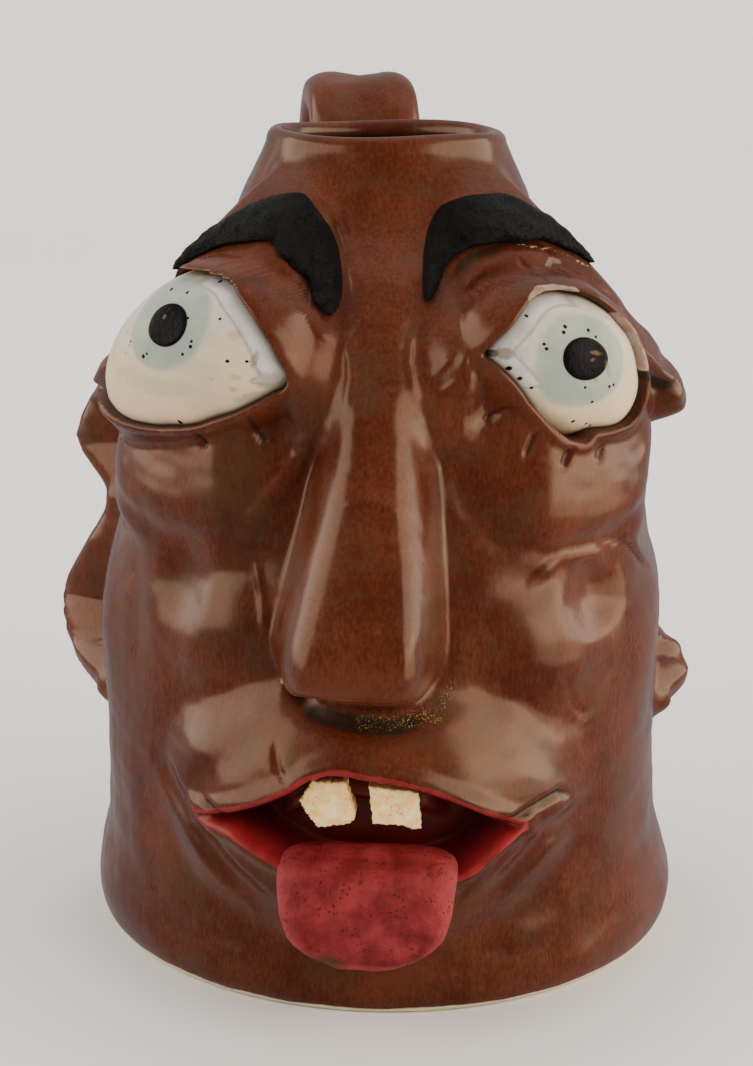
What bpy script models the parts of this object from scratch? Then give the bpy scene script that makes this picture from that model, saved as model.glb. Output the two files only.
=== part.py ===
"""Face jug: a hollow hand-built earthenware jug with a grotesque face on its front.

The clay vessel carries the nose, lids, lips, ears and a strap handle as one fired body.
Eyeballs, brows, teeth and tongue are separate pieces of clay set into it.
+Z is up, the face looks along -Y, and the origin is the middle of the flat underside.
Left and right are the viewer's, looking at the face, so left is -X.
"""

import math

import bpy
import bmesh
import numpy as np

# Driving sizes, in metres
RIM_HEIGHT = 0.190
FOOT_RADIUS = 0.0695
FOOT_BULGE = 0.0021
BELLY_RADIUS = 0.0660
NECK_RADIUS = 0.0280
NECK_LEAN = 0.0016
MOUTH_RADIUS = 0.0230
WALL = 0.0050
FLOOR = 0.0070
GAP = 0.0003

STRAP_WIDTH = 0.0280
STRAP_THICKNESS = 0.0115
STRAP_REACH = 0.0810
STRAP_TURN = 8.0  # degrees that the strap stands round from the middle of the back

LID_THICKNESS = 0.0018
BROW_THICKNESS = 0.0036
BROW_SINK = 0.0016
TONGUE_THICKNESS = 0.0085
TOOTH_THICKNESS = 0.0060
TOOTH_EDGE = 0.0006

# The free forms are drawn in millimetres on a jug 190 mm high, and scale with its height.
# Places on the face are an angle in degrees from the front and a drawn height.
DRAWN = RIM_HEIGHT / 190.0
DEGREE = 1.15  # drawn millimetres of wall for each degree of turn


def smooth_step(x, low, high):
    """0 below low, 1 above high, with an S curve between them."""
    t = np.clip((x - low) / (high - low), 0.0, 1.0)
    return t * t * (3.0 - 2.0 * t)


def smooth_max(a, b, blend):
    """The larger of a and b, rounded over where they are within blend of each other."""
    t = np.clip(0.5 + 0.5 * (a - b) / blend, 0.0, 1.0)
    return b + (a - b) * t + blend * t * (1.0 - t)


def add_form(clay, form, blend):
    """Lay a form over the clay with a rounded join, changing nothing where the form is absent."""
    return smooth_max(clay, form - blend * (1 - smooth_step(form, 0, 2 * blend)), blend)


def curve_through(x, knots):
    """A smooth curve through (x, y) knots that never overshoots them (monotone cubic)."""
    kx, ky = np.array(knots, float).T
    step = np.diff(kx)
    slope = np.diff(ky) / step
    before, after = slope[:-1], slope[1:]
    same = before * after > 0
    weight1 = 2 * step[1:] + step[:-1]
    weight2 = step[1:] + 2 * step[:-1]
    parts = weight1 / np.where(same, before, 1) + weight2 / np.where(same, after, 1)
    tangent = np.append(slope[0], np.append(after, slope[-1]))
    tangent[1:-1] = np.where(same, (weight1 + weight2) / np.where(same, parts, 1), 0)
    x = np.clip(x, kx[0], kx[-1])
    i = np.clip(np.searchsorted(kx, x) - 1, 0, len(step) - 1)
    h, t = step[i], (x - kx[i]) / step[i]
    ends = ky[i] * (2 * t**3 - 3 * t**2 + 1) + ky[i + 1] * (3 * t**2 - 2 * t**3)
    return ends + h * (tangent[i] * (t**3 - 2 * t**2 + t) + tangent[i + 1] * (t**3 - t**2))


def near_line(u, z, points):
    """Drawn distance to a bent line on the wall, and the nearest place's share of its length."""
    pts = np.array(points, float) * (DEGREE, 1.0)
    lengths = np.hypot(*np.diff(pts, axis=0).T)
    a = u * DEGREE + 0 * z
    best = np.full(a.shape, 1e9)
    share = np.zeros(a.shape)
    before = 0.0
    for (x0, y0), (x1, y1), length in zip(pts[:-1], pts[1:], lengths):
        t = np.clip(((a - x0) * (x1 - x0) + (z - y0) * (y1 - y0)) / length**2, 0, 1)
        d = np.hypot(a - x0 - t * (x1 - x0), z - y0 - t * (y1 - y0))
        share = np.where(d < best, (before + t * length) / lengths.sum(), share)
        best = np.minimum(d, best)
        before += length
    return best, share


def hill(distance, width):
    """1 at distance 0, falling in a round hill to 0 at width."""
    t = np.clip(1.0 - (distance / width) ** 2, 0.0, 1.0)
    return t * t


def spot(u, z, u0, z0, half_u, half_z):
    """A round hill of height 1 centred on an angle and a height."""
    return hill(np.hypot((u - u0) / half_u, (z - z0) / half_z), 1.0)


def wall_radius(z):
    """Outer radius in metres of the plain thrown wall at a drawn height."""
    belly, neck, foot = BELLY_RADIUS, NECK_RADIUS, FOOT_RADIUS

    def between(share):
        return neck + share * (belly - neck)

    swell = foot + FOOT_BULGE
    return curve_through(z, [
        (0, foot), (2.5, foot + 0.75 * FOOT_BULGE), (7, swell), (15, belly + 0.7 * (swell - belly)),
        (26, belly + 0.15 * (swell - belly)), (42, belly), (78, belly), (95, between(0.97)),
        (110, between(0.89)), (122, between(0.78)), (135, between(0.615)), (148, between(0.44)),
        (160, between(0.30)), (172, between(0.175)), (180, between(0.082)), (187, neck),
    ])


def lean(u, z):
    """How much further out the wall stands at (u, z) because the neck leans to the left."""
    return -NECK_LEAN * np.sin(np.radians(u)) * smooth_step(z, 110, 172)


class Eye:
    """An egg-shaped ball in the wall: drawn out at its inner corner and flatter behind."""

    def __init__(self, angle, height, out, half_width, corner_width, half_height, front, back, tip, slant,
                 corner_slant, corner_push):
        self.angle = angle
        turn, tip = math.radians(angle), math.radians(tip)
        level = np.array([math.sin(turn), -math.cos(turn), 0.0])
        up = np.array([0.0, 0.0, 1.0])
        self.centre = level * (wall_radius(height) + out * DRAWN) + up * height * DRAWN
        across = np.array([math.cos(turn), math.sin(turn), 0.0])
        rise = up * math.cos(tip) - level * math.sin(tip)
        ahead = level * math.cos(tip) + up * math.sin(tip)
        self.axes = np.array([across, rise, ahead])
        self.slants = np.array([slant, corner_slant])
        self.pushes = np.array([0.0, corner_push])
        self.half = np.array([half_width, half_height, front]) * DRAWN
        self.corner_width = corner_width * DRAWN
        self.back = back * DRAWN

    def widths(self, across):
        """Half width on the side where across lies: the inner corner is on the nose's side."""
        return np.where(across * self.angle < 0, self.corner_width, self.half[0])

    def leans(self, across):
        """How much the ball rises and goes back for each step across, on the side where across lies."""
        side = np.where(across * self.angle < 0, 1, 0)
        return self.slants[side], self.pushes[side]

    def placed(self, local):
        """Points in space from places on the upright ball, leant by how far across they are."""
        slant, push = self.leans(local[..., 0])
        leant = local.copy()
        leant[..., 1] += slant * local[..., 0]
        leant[..., 2] -= push * np.abs(local[..., 0])
        return self.centre + leant @ self.axes

    def straightened(self, vectors, across):
        """Vectors along the eye's axes with the lean of that side taken out."""
        slant, push = self.leans(across)
        local = vectors @ self.axes.T
        local[..., 1] -= slant * local[..., 0]
        local[..., 2] += push * local[..., 0] * np.sign(across)
        return local

    def reach(self, u, z, extra):
        """Radius in metres at which a level ray leaves the ball, grown by extra, at (u, z).

        Past the ball's outline the radius falls away steeply, so that clay over it slopes down.
        """
        turn = np.radians(u) + 0 * z
        side = u - self.angle + 0 * turn
        ray = self.straightened(np.stack([np.sin(turn), -np.cos(turn), 0 * turn], -1), side)
        start = np.stack([0 * turn, 0 * turn, z * DRAWN + 0 * turn], -1) - self.centre
        start = self.straightened(start, side)
        half = np.stack([self.widths(u - self.angle) + 0 * turn, self.half[1] + 0 * turn,
                         self.half[2] + 0 * turn], -1) + extra
        ray, start = ray / half, start / half
        a, b = (ray * ray).sum(-1), (ray * start).sum(-1)
        inside = b * b - a * ((start * start).sum(-1) - 1)
        reach = np.sqrt(np.abs(inside)) * np.where(inside > 0, 1.0, -3.0)
        return (reach - b) / a


LEFT_EYE = Eye(-43.2, 144.3, 13.2, 25.4, 26.3, 19.0, 17, 9.5, 6, 0.34, 0.08, 0.13)
RIGHT_EYE = Eye(40.5, 143.6, 9.1, 18.6, 24.8, 17.5, 16.8, 9, 4, -0.35, -0.17, 0.08)

# The openings between the lids, drawn across and up each ball as seen along its own axis
LEFT_OPENING = [(25.9, -2.3), (25.2, 1.4), (24.1, 4.8), (22.1, 8.0), (19.4, 11.2), (16, 14.1), (12.6, 16.6),
                (9.0, 18.0), (3.5, 18.7), (-6, 18.4), (-16, 13.4), (-22.6, 6), (-25.8, -3), (-24.6, -9.5),
                (-17.6, -13.0), (-10, -15.1), (-2, -15.4), (7.8, -13.8), (13.4, -11.5), (17.8, -9.3),
                (21.4, -6.8), (23.8, -4.5)]
RIGHT_OPENING = [(-23.9, 4.5), (-22.6, 7.0), (-20.4, 9.4), (-16.8, 13.0), (-13.7, 15.1), (-10.4, 16.1), (-6.9, 16.0),
                 (-1.5, 14.2), (3.6, 10.2), (7.6, 6.6), (10.2, 2.6), (9.9, -1.6), (11.2, -6), (10.4, -10.5),
                 (7.8, -13.3), (2.5, -14.0), (-1.8, -14.1), (-4.0, -15.5), (-7.4, -14.8), (-11.4, -12.0),
                 (-14.4, -9), (-17, -5.7), (-19.3, -2.5), (-21.6, 0.6), (-23.2, 3.0)]

# Lines on the face, each point an angle and a drawn height
LEFT_BROW = [(-54.5, 161.5), (-51, 167.5), (-44, 171.8), (-33, 173.6), (-23, 168.8), (-16.6, 161.8), (-13.1, 155.2)]
RIGHT_BROW = [(8.2, 157.5), (13, 166.6), (20, 171.8), (30, 173.6), (40, 173.6), (50.2, 169.9), (55.8, 163.6)]
LEFT_BROW_WIDTHS = [(0, 2.0), (0.15, 3.8), (0.4, 4.6), (0.7, 4.9), (0.88, 4.2), (1, 2.6)]
RIGHT_BROW_WIDTHS = [(0, 2.0), (0.15, 4.2), (0.4, 4.8), (0.7, 4.8), (0.88, 3.8), (1, 1.8)]

LIP_TOP = [(-33, 45.5), (-26, 48.6), (-15.5, 55.7), (-12.3, 58.9), (-7.9, 60.7), (-2.8, 59.9), (3.3, 58.5),
           (11, 54.2), (18.3, 49), (22, 47)]
LIP_BOTTOM = [(-33, 45), (-26, 44.8), (-21.7, 42.3), (-17.7, 40), (-10, 37), (-3, 36), (5, 36),
              (11.6, 37.4), (14.9, 39.6), (18.4, 43.6), (22, 46.8)]
MOUTH_MIDDLE = -4.5

LEFT_EAR = [(-84, 126), (-91, 130), (-99, 125), (-101, 112), (-96, 100), (-98, 88), (-103, 72),
            (-99, 60), (-89, 54)]
RIGHT_EAR = [(88, 106), (94, 109), (100, 104), (101, 92), (99, 80), (100, 71), (103, 62),
             (101, 55.5), (92, 50.5)]
LEFT_EAR_HEIGHTS = [(0, 7), (0.12, 15), (0.3, 17.8), (0.47, 5.5), (0.6, 11), (0.76, 18), (0.88, 14.5), (1, 6)]
RIGHT_EAR_HEIGHTS = [(0, 0), (0.12, 1), (0.28, 2), (0.45, 1.5), (0.6, 2.5), (0.72, 4.5), (0.81, 10.5),
                     (0.9, 11), (1, 5)]

# Lid tails: where each eye's outer corner is drawn out into a pointed flap
LEFT_TAIL = [(-62, 143), (-70, 139), (-78, 134)]
RIGHT_TAIL = [(50, 153), (60, 146), (67.5, 138.5), (70.5, 132.5)]


def nose(u, z):
    """A long strip of clay down the middle, broad and flat in front and cut under at its tip."""
    right = u + 3.2 + 0.6 * smooth_step(z, 128, 92)
    off = np.where(right < 0, -right * (1 - 0.13 * smooth_step(z, 122, 94)), right)
    lifted = z - 5 * smooth_step(off, 8, 15) * (1 - smooth_step(z, 84, 104))
    height = curve_through(lifted, [
        (75, 0), (75.8, 8), (77, 14.5), (79, 20.5), (82, 24.2), (86, 25.5), (91, 24.9), (98, 22.4), (106, 19.6),
        (115, 17.4), (130, 15.8), (140, 15), (150, 13), (160, 8.4), (168, 3.6), (176, 0.8), (184, 0),
    ])
    low, high = smooth_step(z, 134, 92), smooth_step(z, 150, 175)
    sides = 1 - smooth_step(off, 3.0 + 2.6 * low, 17.6 - 0.7 * low + 7 * high)
    return height * sides * (1 - 0.05 * (np.minimum(off, 12) / 8) ** 2)


def bridge(u, z):
    """The broad saddle of clay between the eyes, into which both eye mounds and the nose run."""
    height = curve_through(z, [
        (116, 0), (124, 4.5), (132, 10), (141, 13.2), (150, 12.2), (160, 8.6), (168, 4.8), (176, 1.5), (184, 0),
    ])
    saddle = height * (1 - smooth_step(np.abs(u + 1.5), 15 + 2 * smooth_step(z, 140, 155), 33))
    return saddle + 6.5 * spot(u, z, -20, 148, 11, 19) + 5.5 * spot(u, z, 15.5, 148, 9.5, 14)


def eye_mound(u, z, middle, inner, outer, taper):
    """The swelling that carries an eye, with the pouch hanging under it."""
    height = curve_through(z, [
        (84, 0.5), (96, 2.2), (103, 5), (108, 7.6), (113, 9.9), (119, 11.6), (125, 13.2), (132, 15.8),
        (140, 19.8), (148, 22.4), (155, 22), (160, 20), (165, 16.6), (170, 12.6), (175, 8.6), (180, 4.4),
        (186, 0.3),
    ])
    off = (u - middle) * np.sign(middle)
    spread = np.where(off < 0, -off / inner, off / (outer * (1 - taper * smooth_step(z, 143, 166))))
    narrow = 1 - 0.16 * smooth_step(z, 160, 180)
    return height * (1 - smooth_step(spread / narrow, 0.28, 1.0))


def lid_skin(u, z, clay, eye):
    """Raise the clay over an eyeball by a lid's thickness, as if the eye were shut."""
    skin = (eye.reach(u, z, LID_THICKNESS) - wall_radius(z) - lean(u, z)) / DRAWN
    return smooth_max(clay, skin, 2.4)


def mouth_inside(u, z):
    """Drawn distance inside the mouth's outline, below zero outside it."""
    top = curve_through(u, LIP_TOP)
    bottom = curve_through(u, LIP_BOTTOM)
    ends = np.minimum(u + 33, 22 - u) * DEGREE
    return np.minimum(np.minimum(top - z, z - bottom), ends)


def ridge(u, z, line, heights, top, foot):
    """A rounded ridge of clay along a line, top to foot wide on each side, as high as heights says."""
    away, share = near_line(u, z, line)
    return curve_through(share, heights) * (1 - smooth_step(away, top, foot))


def worked_clay(u, z):
    """How far the worked clay stands out of the plain wall, in drawn millimetres."""
    front = 1 - smooth_step(np.abs(u + 3), 40, 85)
    clay = 3.4 * front * smooth_step(z, 8, 30) * (1 - smooth_step(z, 120, 175))
    clay = clay + 2.4 * spot(u, z, -33, 84, 17, 17) + 2.8 * spot(u, z, 31, 82, 16, 20)
    clay = clay + 3.4 * spot(u, z, -76, 76, 22, 30) + 1.6 * spot(u, z, 62, 76, 22, 24)
    clay = clay + 2.4 * spot(u, z, -80, 40, 60, 42)

    muzzle = np.clip(1 - ((u + 4) / 54) ** 2 - ((z - 48) / 38) ** 2, 0, 1)
    clay = add_form(clay, 16.4 * muzzle**1.2, 4.5)

    mounds = smooth_max(eye_mound(u, z, -46, 38, 42, 0.42), eye_mound(u, z, 42, 37, 42.5, 0.25), 3.0)
    clay = add_form(clay, mounds, 3.0)
    clay = add_form(clay, bridge(u, z), 4.0)
    clay = add_form(clay, ridge(u, z, LEFT_TAIL, [(0, 17), (0.5, 19), (1, 18)], 1, 9), 3.0)
    clay = add_form(clay, ridge(u, z, RIGHT_TAIL, [(0, 21), (0.4, 21), (0.75, 19), (1, 15.5)], 3, 11), 3.0)
    clay = add_form(clay, nose(u, z), 3.0 + 3.0 * smooth_step(z, 115, 150))
    clay = add_form(clay, ridge(u, z, LEFT_EAR, LEFT_EAR_HEIGHTS, 1.6, 9), 2.0)
    clay = add_form(clay, ridge(u, z, RIGHT_EAR, RIGHT_EAR_HEIGHTS, 1.6, 8), 2.0)

    clay = clay - creases(u, z)
    clay = lid_skin(u, z, clay, LEFT_EYE)
    clay = lid_skin(u, z, clay, RIGHT_EYE)

    inside = mouth_inside(u, z)
    pocket = 13.5 * smooth_step(inside, -0.3, 3.2)
    below_lip = curve_through(u, LIP_TOP) - z
    gum = 7.5 * (1 - smooth_step(np.abs(u - MOUTH_MIDDLE), 10, 17)) * (1 - smooth_step(below_lip, 5, 9))
    return clay + hill(inside + 1.5, 3.5) - np.maximum(pocket - gum * smooth_step(inside, 1, 3.2), 0)


def creases(u, z):
    """The deeper folds: under the pouches, from nose to mouth corner, and a dimple in each cheek."""
    folds = (
        (0.9, 4.5, [(-66, 113), (-57, 107), (-45, 104), (-31, 106.5), (-22, 116)]),
        (1.0, 4.5, [(14, 118), (21, 108.5), (32, 104.5), (47, 106.5), (60, 113)]),
        (2.2, 5.5, [(-46, 52), (-35, 42), (-27, 32), (-19, 25.5)]),
        (1.6, 5.0, [(40, 44), (28, 42), (22, 35), (17, 28)]),
        (0.7, 5.0, [(37, 52), (27, 60), (17, 69)]),
        (0.7, 5.0, [(-36, 48), (-28, 58.5), (-19, 69)]),
    )
    depth = 0
    for deep, wide, line in folds:
        away, share = near_line(u, z, line)
        depth = depth + deep * hill(away, wide) * np.clip(4 * share * (1 - share) + 0.25, 0, 1)
    depth = depth + 3.2 * spot(u, z, 41, 92, 11, 11) + 2.4 * spot(u, z, -42, 94, 9, 17)
    depth = depth + 3.2 * spot(u, z, 64, 112, 15, 15) + 2.6 * spot(u, z, -59, 159, 13, 9)
    return depth + 3.6 * spot(u, z, 82, 101, 27, 17) - 3.6 * spot(u, z, 71, 134, 12, 9)


def outer_radius(u, z):
    """Radius in metres of the clay's outer face at an angle in degrees and a drawn height."""
    return wall_radius(z) + lean(u, z) + DRAWN * worked_clay(u, z)


def on_wall(u, r, z):
    """Points in metres from an angle in degrees, a radius in metres and a drawn height."""
    turn = np.radians(u)
    return np.stack([r * np.sin(turn), -r * np.cos(turn), z * DRAWN + 0 * r], -1)


def mesh_object(name, vertices, faces):
    mesh = bpy.data.meshes.new(name)
    mesh.from_pydata([tuple(v) for v in vertices], [], faces)
    mesh.validate()
    item = bpy.data.objects.new(name, mesh)
    bpy.context.scene.collection.objects.link(item)
    return item


def closed_grid(name, rings, first=None, last=None):
    """A tube of rings, each an array of points, closed by a fan to a point or by a flat cap."""
    count = len(rings[0])
    vertices = np.concatenate(rings)
    faces = []
    for row in range(len(rings) - 1):
        for i in range(count):
            j = (i + 1) % count
            faces.append((row * count + i, row * count + j, (row + 1) * count + j, (row + 1) * count + i))
    ends = ((0, first, True), (len(rings) - 1, last, False))
    for row, point, turned in ends:
        ring = [row * count + i for i in range(count)]
        if point is None:
            faces.append(tuple(ring[::-1] if turned else ring))
            continue
        vertices = np.concatenate([vertices, [point]])
        tip = len(vertices) - 1
        for a, b in zip(ring, ring[1:] + ring[:1]):
            faces.append((tip, b, a) if turned else (tip, a, b))
    item = mesh_object(name, vertices, faces)
    face_outwards(item)
    return item


def face_outwards(item):
    work = bmesh.new()
    work.from_mesh(item.data)
    bmesh.ops.triangulate(work, faces=work.faces)
    bmesh.ops.recalc_face_normals(work, faces=work.faces)
    if work.calc_volume(signed=True) < 0:
        bmesh.ops.reverse_faces(work, faces=work.faces)
    work.to_mesh(item.data)
    work.free()


def boolean(item, other, operation):
    modifier = item.modifiers.new(operation.title(), "BOOLEAN")
    modifier.operation = operation
    modifier.solver = "EXACT"
    modifier.object = other
    other.hide_render = True
    other.display_type = "WIRE"


def socket(piece):
    """A cutter that is the piece with every face moved out by the gap."""
    cutter = bpy.data.objects.new("socket for " + piece.name, piece.data.copy())
    bpy.context.scene.collection.objects.link(cutter)
    work = bmesh.new()
    work.from_mesh(cutter.data)
    work.normal_update()
    moves = []
    for vertex in work.verts:
        tightest = min(vertex.normal.dot(face.normal) for face in vertex.link_faces)
        moves.append(vertex.normal * GAP / max(tightest, 0.3))
    for vertex, move in zip(work.verts, moves):
        vertex.co += move
    work.to_mesh(cutter.data)
    work.free()
    return cutter


def settle(item):
    """Replace an object's mesh by what its modifiers make of it."""
    view = bpy.context.evaluated_depsgraph_get()
    mesh = bpy.data.meshes.new_from_object(item.evaluated_get(view))
    item.modifiers.clear()
    item.data = mesh


def material(name, colour, roughness):
    made = bpy.data.materials.new(name)
    made.use_nodes = True
    shader = made.node_tree.nodes["Principled BSDF"]
    shader.inputs["Base Color"].default_value = (*colour, 1.0)
    shader.inputs["Roughness"].default_value = roughness
    shader.inputs["Metallic"].default_value = 0.0
    return made


# The body's grid: closer columns across the face than round the back
FACE_COLUMNS = np.linspace(-78, 78, 112)
EAR_COLUMNS = np.linspace(79.6, 116, 24)
BACK_COLUMNS = np.linspace(121, 239, 21)
COLUMNS = np.concatenate([FACE_COLUMNS, EAR_COLUMNS, BACK_COLUMNS, 360 - EAR_COLUMNS[::-1]])
RIM_START = 187.0
FOOT_ROUNDING = 0.0010


def vessel(name, rows, columns, triangles):
    """The hollow body: underside, worked outer face, round rim, inner wall and floor."""
    angles = (columns + 180) % 360 - 180
    rings = [on_wall(angles, 0.5 * FOOT_RADIUS + 0 * angles, 0.0)]
    rings.append(on_wall(angles, FOOT_RADIUS - FOOT_ROUNDING + 0 * angles, 0.0))
    for z in np.linspace(0.6, RIM_START, rows):
        rings.append(on_wall(angles, outer_radius(angles, z + 0 * angles), z))
    inner_top = MOUTH_RADIUS + lean(angles, RIM_START)
    outer_top = outer_radius(angles, RIM_START + 0 * angles)
    rim_rise = 190.0 - RIM_START
    for turn in np.radians([30, 60, 90, 120, 150]):
        middle, half = (outer_top + inner_top) / 2, (outer_top - inner_top) / 2
        rings.append(on_wall(angles, middle + half * math.cos(turn), RIM_START + rim_rise * math.sin(turn)))
    floor = FLOOR / DRAWN
    for z in np.linspace(RIM_START, floor + 6, 34):
        plain = wall_radius(z) - WALL + (MOUTH_RADIUS - NECK_RADIUS + WALL) * smooth_step(z, 168, RIM_START)
        rings.append(on_wall(angles, plain + lean(angles, z), z))
    corner = 6 * DRAWN
    side = wall_radius(floor + 6) - WALL
    for turn in np.radians([30, 60, 90]):
        z = floor + 6 * (1 - math.sin(turn))
        rings.append(on_wall(angles, side - corner * (1 - math.cos(turn)) + 0 * angles, z))
    rings.append(on_wall(angles, 0.5 * side + 0 * angles, floor))
    body = closed_grid(name, rings, first=(0, 0, 0), last=(0, 0, FLOOR))
    thin = body.modifiers.new("Fewer facets", "DECIMATE")
    thin.ratio = triangles / sum(len(face.vertices) - 2 for face in body.data.polygons)
    settle(body)
    for vertex in body.data.vertices:
        if abs(vertex.co.z) < 0.00005:
            vertex.co.z = 0.0
    return body


def section(width, thickness, points=12, squareness=3.2):
    """A rounded oblong across a path: pairs of sideways and outward offsets."""
    turn = np.linspace(0, 2 * math.pi, points, endpoint=False)
    power = 2 / squareness
    side = np.sign(np.cos(turn)) * np.abs(np.cos(turn)) ** power * width / 2
    out = np.sign(np.sin(turn)) * np.abs(np.sin(turn)) ** power * thickness / 2
    return side, out


def handle():
    """A strap from the neck, up and back over a finger gap, and down to the shoulder."""
    seat = (wall_radius(171) - 0.5 * WALL) / DRAWN
    low_seat = (wall_radius(112) - 0.5 * WALL) / DRAWN
    reach = STRAP_REACH / DRAWN
    path = np.array([
        (seat, 171), (seat + 5.5, 173.4), (seat + 11.5, 178.5), (seat + 16.5, 186.5), (seat + 23.5, 192.6),
        (seat + 31.5, 194), (reach - 7, 188.5), (reach - 1.5, 178), (reach, 164), (reach - 1.5, 150),
        (reach - 6.5, 135), (reach - 12.5, 122.5), (low_seat + 5, 114.5), (low_seat, 112),
    ])
    share = np.concatenate([[0], np.cumsum(np.hypot(*np.diff(path, axis=0).T))])
    share = share / share[-1]
    fine = np.linspace(0, 1, 22)
    back = curve_through(fine, list(zip(share, path[:, 0]))) * DRAWN
    rise = curve_through(fine, list(zip(share, path[:, 1]))) * DRAWN
    along = np.stack([np.gradient(back), np.gradient(rise)], -1)
    along /= np.hypot(*along.T)[:, None]
    turn = math.radians(180 + STRAP_TURN)
    outward = np.array([math.sin(turn), -math.cos(turn), 0.0])
    sideways = np.array([math.cos(turn), math.sin(turn), 0.0])
    up = np.array([0.0, 0.0, 1.0])
    rings = []
    for b, z, (tb, tz) in zip(back, rise, along):
        side, out = section(STRAP_WIDTH, STRAP_THICKNESS)
        across = outward * -tz + up * tb
        rings.append(b * outward + z * up + side[:, None] * sideways + out[:, None] * across)
    return closed_grid("handle", rings)


def eyeball(name, eye, around=24, rings=11):
    """The ball itself, its poles on its own front-to-back axis."""
    turn = np.linspace(0, 2 * math.pi, around, endpoint=False)
    loops = []
    for tilt in np.linspace(0, math.pi, rings + 2)[1:-1]:
        depth = eye.half[2] if tilt < math.pi / 2 else eye.back
        local = np.stack([
            eye.widths(np.cos(turn)) * math.sin(tilt) * np.cos(turn),
            eye.half[1] * math.sin(tilt) * np.sin(turn),
            depth * math.cos(tilt) + 0 * turn,
        ], -1)
        loops.append(eye.placed(local))
    front = eye.centre + eye.axes[2] * eye.half[2]
    back = eye.centre - eye.axes[2] * eye.back
    return closed_grid(name, loops, first=front, last=back)


def lid_opening(name, eye, outline):
    """A straight-sided cutter that opens the lid skin in front of an eyeball."""
    flat = np.array(outline, float) * DRAWN
    rings = []
    for depth in (1.0 * DRAWN, eye.half[2] + 12 * DRAWN):
        local = np.concatenate([flat, np.full((len(flat), 1), depth)], axis=1)
        rings.append(eye.centre + local @ eye.axes)
    return closed_grid(name, rings)


def brow(name, line, widths):
    """A crescent roll of clay pressed onto the slope above an eye."""
    pts = np.array(line, float) * (DEGREE, 1.0)
    share = np.concatenate([[0], np.cumsum(np.hypot(*np.diff(pts, axis=0).T))])
    share /= share[-1]
    fine = np.linspace(0, 1, 15)
    a = curve_through(fine, list(zip(share, pts[:, 0])))
    z = curve_through(fine, list(zip(share, pts[:, 1])))
    along = np.stack([np.gradient(a), np.gradient(z)], -1)
    along /= np.hypot(*along.T)[:, None]
    inner_end = fine if line[0][0] < 0 else 1 - fine
    half = curve_through(inner_end, widths)
    turn = np.linspace(0, 2 * math.pi, 8, endpoint=False)
    rings = []
    for i in range(len(fine)):
        off = half[i] * np.cos(turn)
        u = (a[i] - along[i, 1] * off) / DEGREE
        height = z[i] + along[i, 0] * off
        ground = outer_radius(u, height)
        thick = BROW_THICKNESS * (0.45 + 0.55 * half[i] / 5.6)
        swell = np.abs(np.sin(turn))
        lift = np.where(np.sin(turn) > 0, thick * swell, -BROW_SINK * np.sqrt(swell))
        rings.append(on_wall(u, ground + lift, height))
    return closed_grid(name, rings)


TONGUE_PATH = [(2.5, 37), (8, 38.7), (13.2, 38), (17.3, 34.6), (19.4, 29.4), (19.7, 24.4), (18.9, 19.8)]
TONGUE_HALF_WIDTHS = [(0, 15), (0.3, 19.8), (0.6, 18.9), (0.8, 17.2), (0.92, 13), (1, 8)]
TONGUE_ANGLE = -3.1


def tongue(name):
    """A thick slab of clay out of the mouth and down over the lower lip, hollowed along its middle."""
    path = np.array(TONGUE_PATH)
    share = np.concatenate([[0], np.cumsum(np.hypot(*np.diff(path, axis=0).T))])
    share /= share[-1]
    fine = np.linspace(0, 1, 15)
    out = curve_through(fine, list(zip(share, path[:, 0]))) * DRAWN + wall_radius(45)
    rise = curve_through(fine, list(zip(share, path[:, 1]))) * DRAWN
    along = np.stack([np.gradient(out), np.gradient(rise)], -1)
    along /= np.hypot(*along.T)[:, None]
    half = curve_through(fine, TONGUE_HALF_WIDTHS) * DRAWN
    thick = TONGUE_THICKNESS * curve_through(fine, [(0, 0.75), (0.4, 1), (0.85, 0.95), (1, 0.62)])
    rings = []
    for i in range(len(fine)):
        side, over = section(2 * half[i], thick[i], points=16, squareness=2.6)
        hollow = 1.9 * DRAWN * hill(side / half[i], 0.85) * (over > 0) * smooth_step(fine[i], 0.15, 0.4)
        over = over - hollow * (1 - smooth_step(fine[i], 0.75, 1))
        normal = np.array([-along[i, 1], along[i, 0]])
        r = out[i] + over * normal[0]
        z = rise[i] + over * normal[1]
        u = TONGUE_ANGLE + np.degrees(side / out[i])
        rings.append(on_wall(u, r, z / DRAWN))
    return closed_grid(name, rings)


LEFT_TOOTH = [(-14.3, 53.4), (-12.2, 58.2), (-6.6, 58.4), (-5.2, 50.2), (-6.3, 48.9), (-11.2, 47.6),
              (-13.1, 50.6)]
RIGHT_TOOTH = [(-3.0, 57.8), (5.0, 56.4), (5.6, 48.2), (4.2, 47.9), (2.4, 48.9), (-2.3, 49.2)]
TOOTH_FRONT = 12.3  # drawn millimetres that a tooth's face stands out of the plain wall


def tooth(name, outline):
    """A flat chip of clay with a softened edge, its root in the gum."""
    pts = np.array(outline, float) * (DEGREE, 1.0)
    middle = pts.mean(axis=0)
    front = wall_radius(53) + TOOTH_FRONT * DRAWN
    rings = []
    for out, ease in ((-TOOTH_THICKNESS, 0.0), (-TOOTH_EDGE, 0.0), (0.0, TOOTH_EDGE)):
        size = np.hypot(*(pts - middle).T)[:, None]
        spread = middle + (pts - middle) * (size - ease / DRAWN) / size
        r = front + out + 0 * spread[:, 0]
        u = spread[:, 0] / DEGREE * wall_radius(53) / front * 1.16
        rings.append(on_wall(u, r, spread[:, 1]))
    return closed_grid(name, rings)


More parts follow.
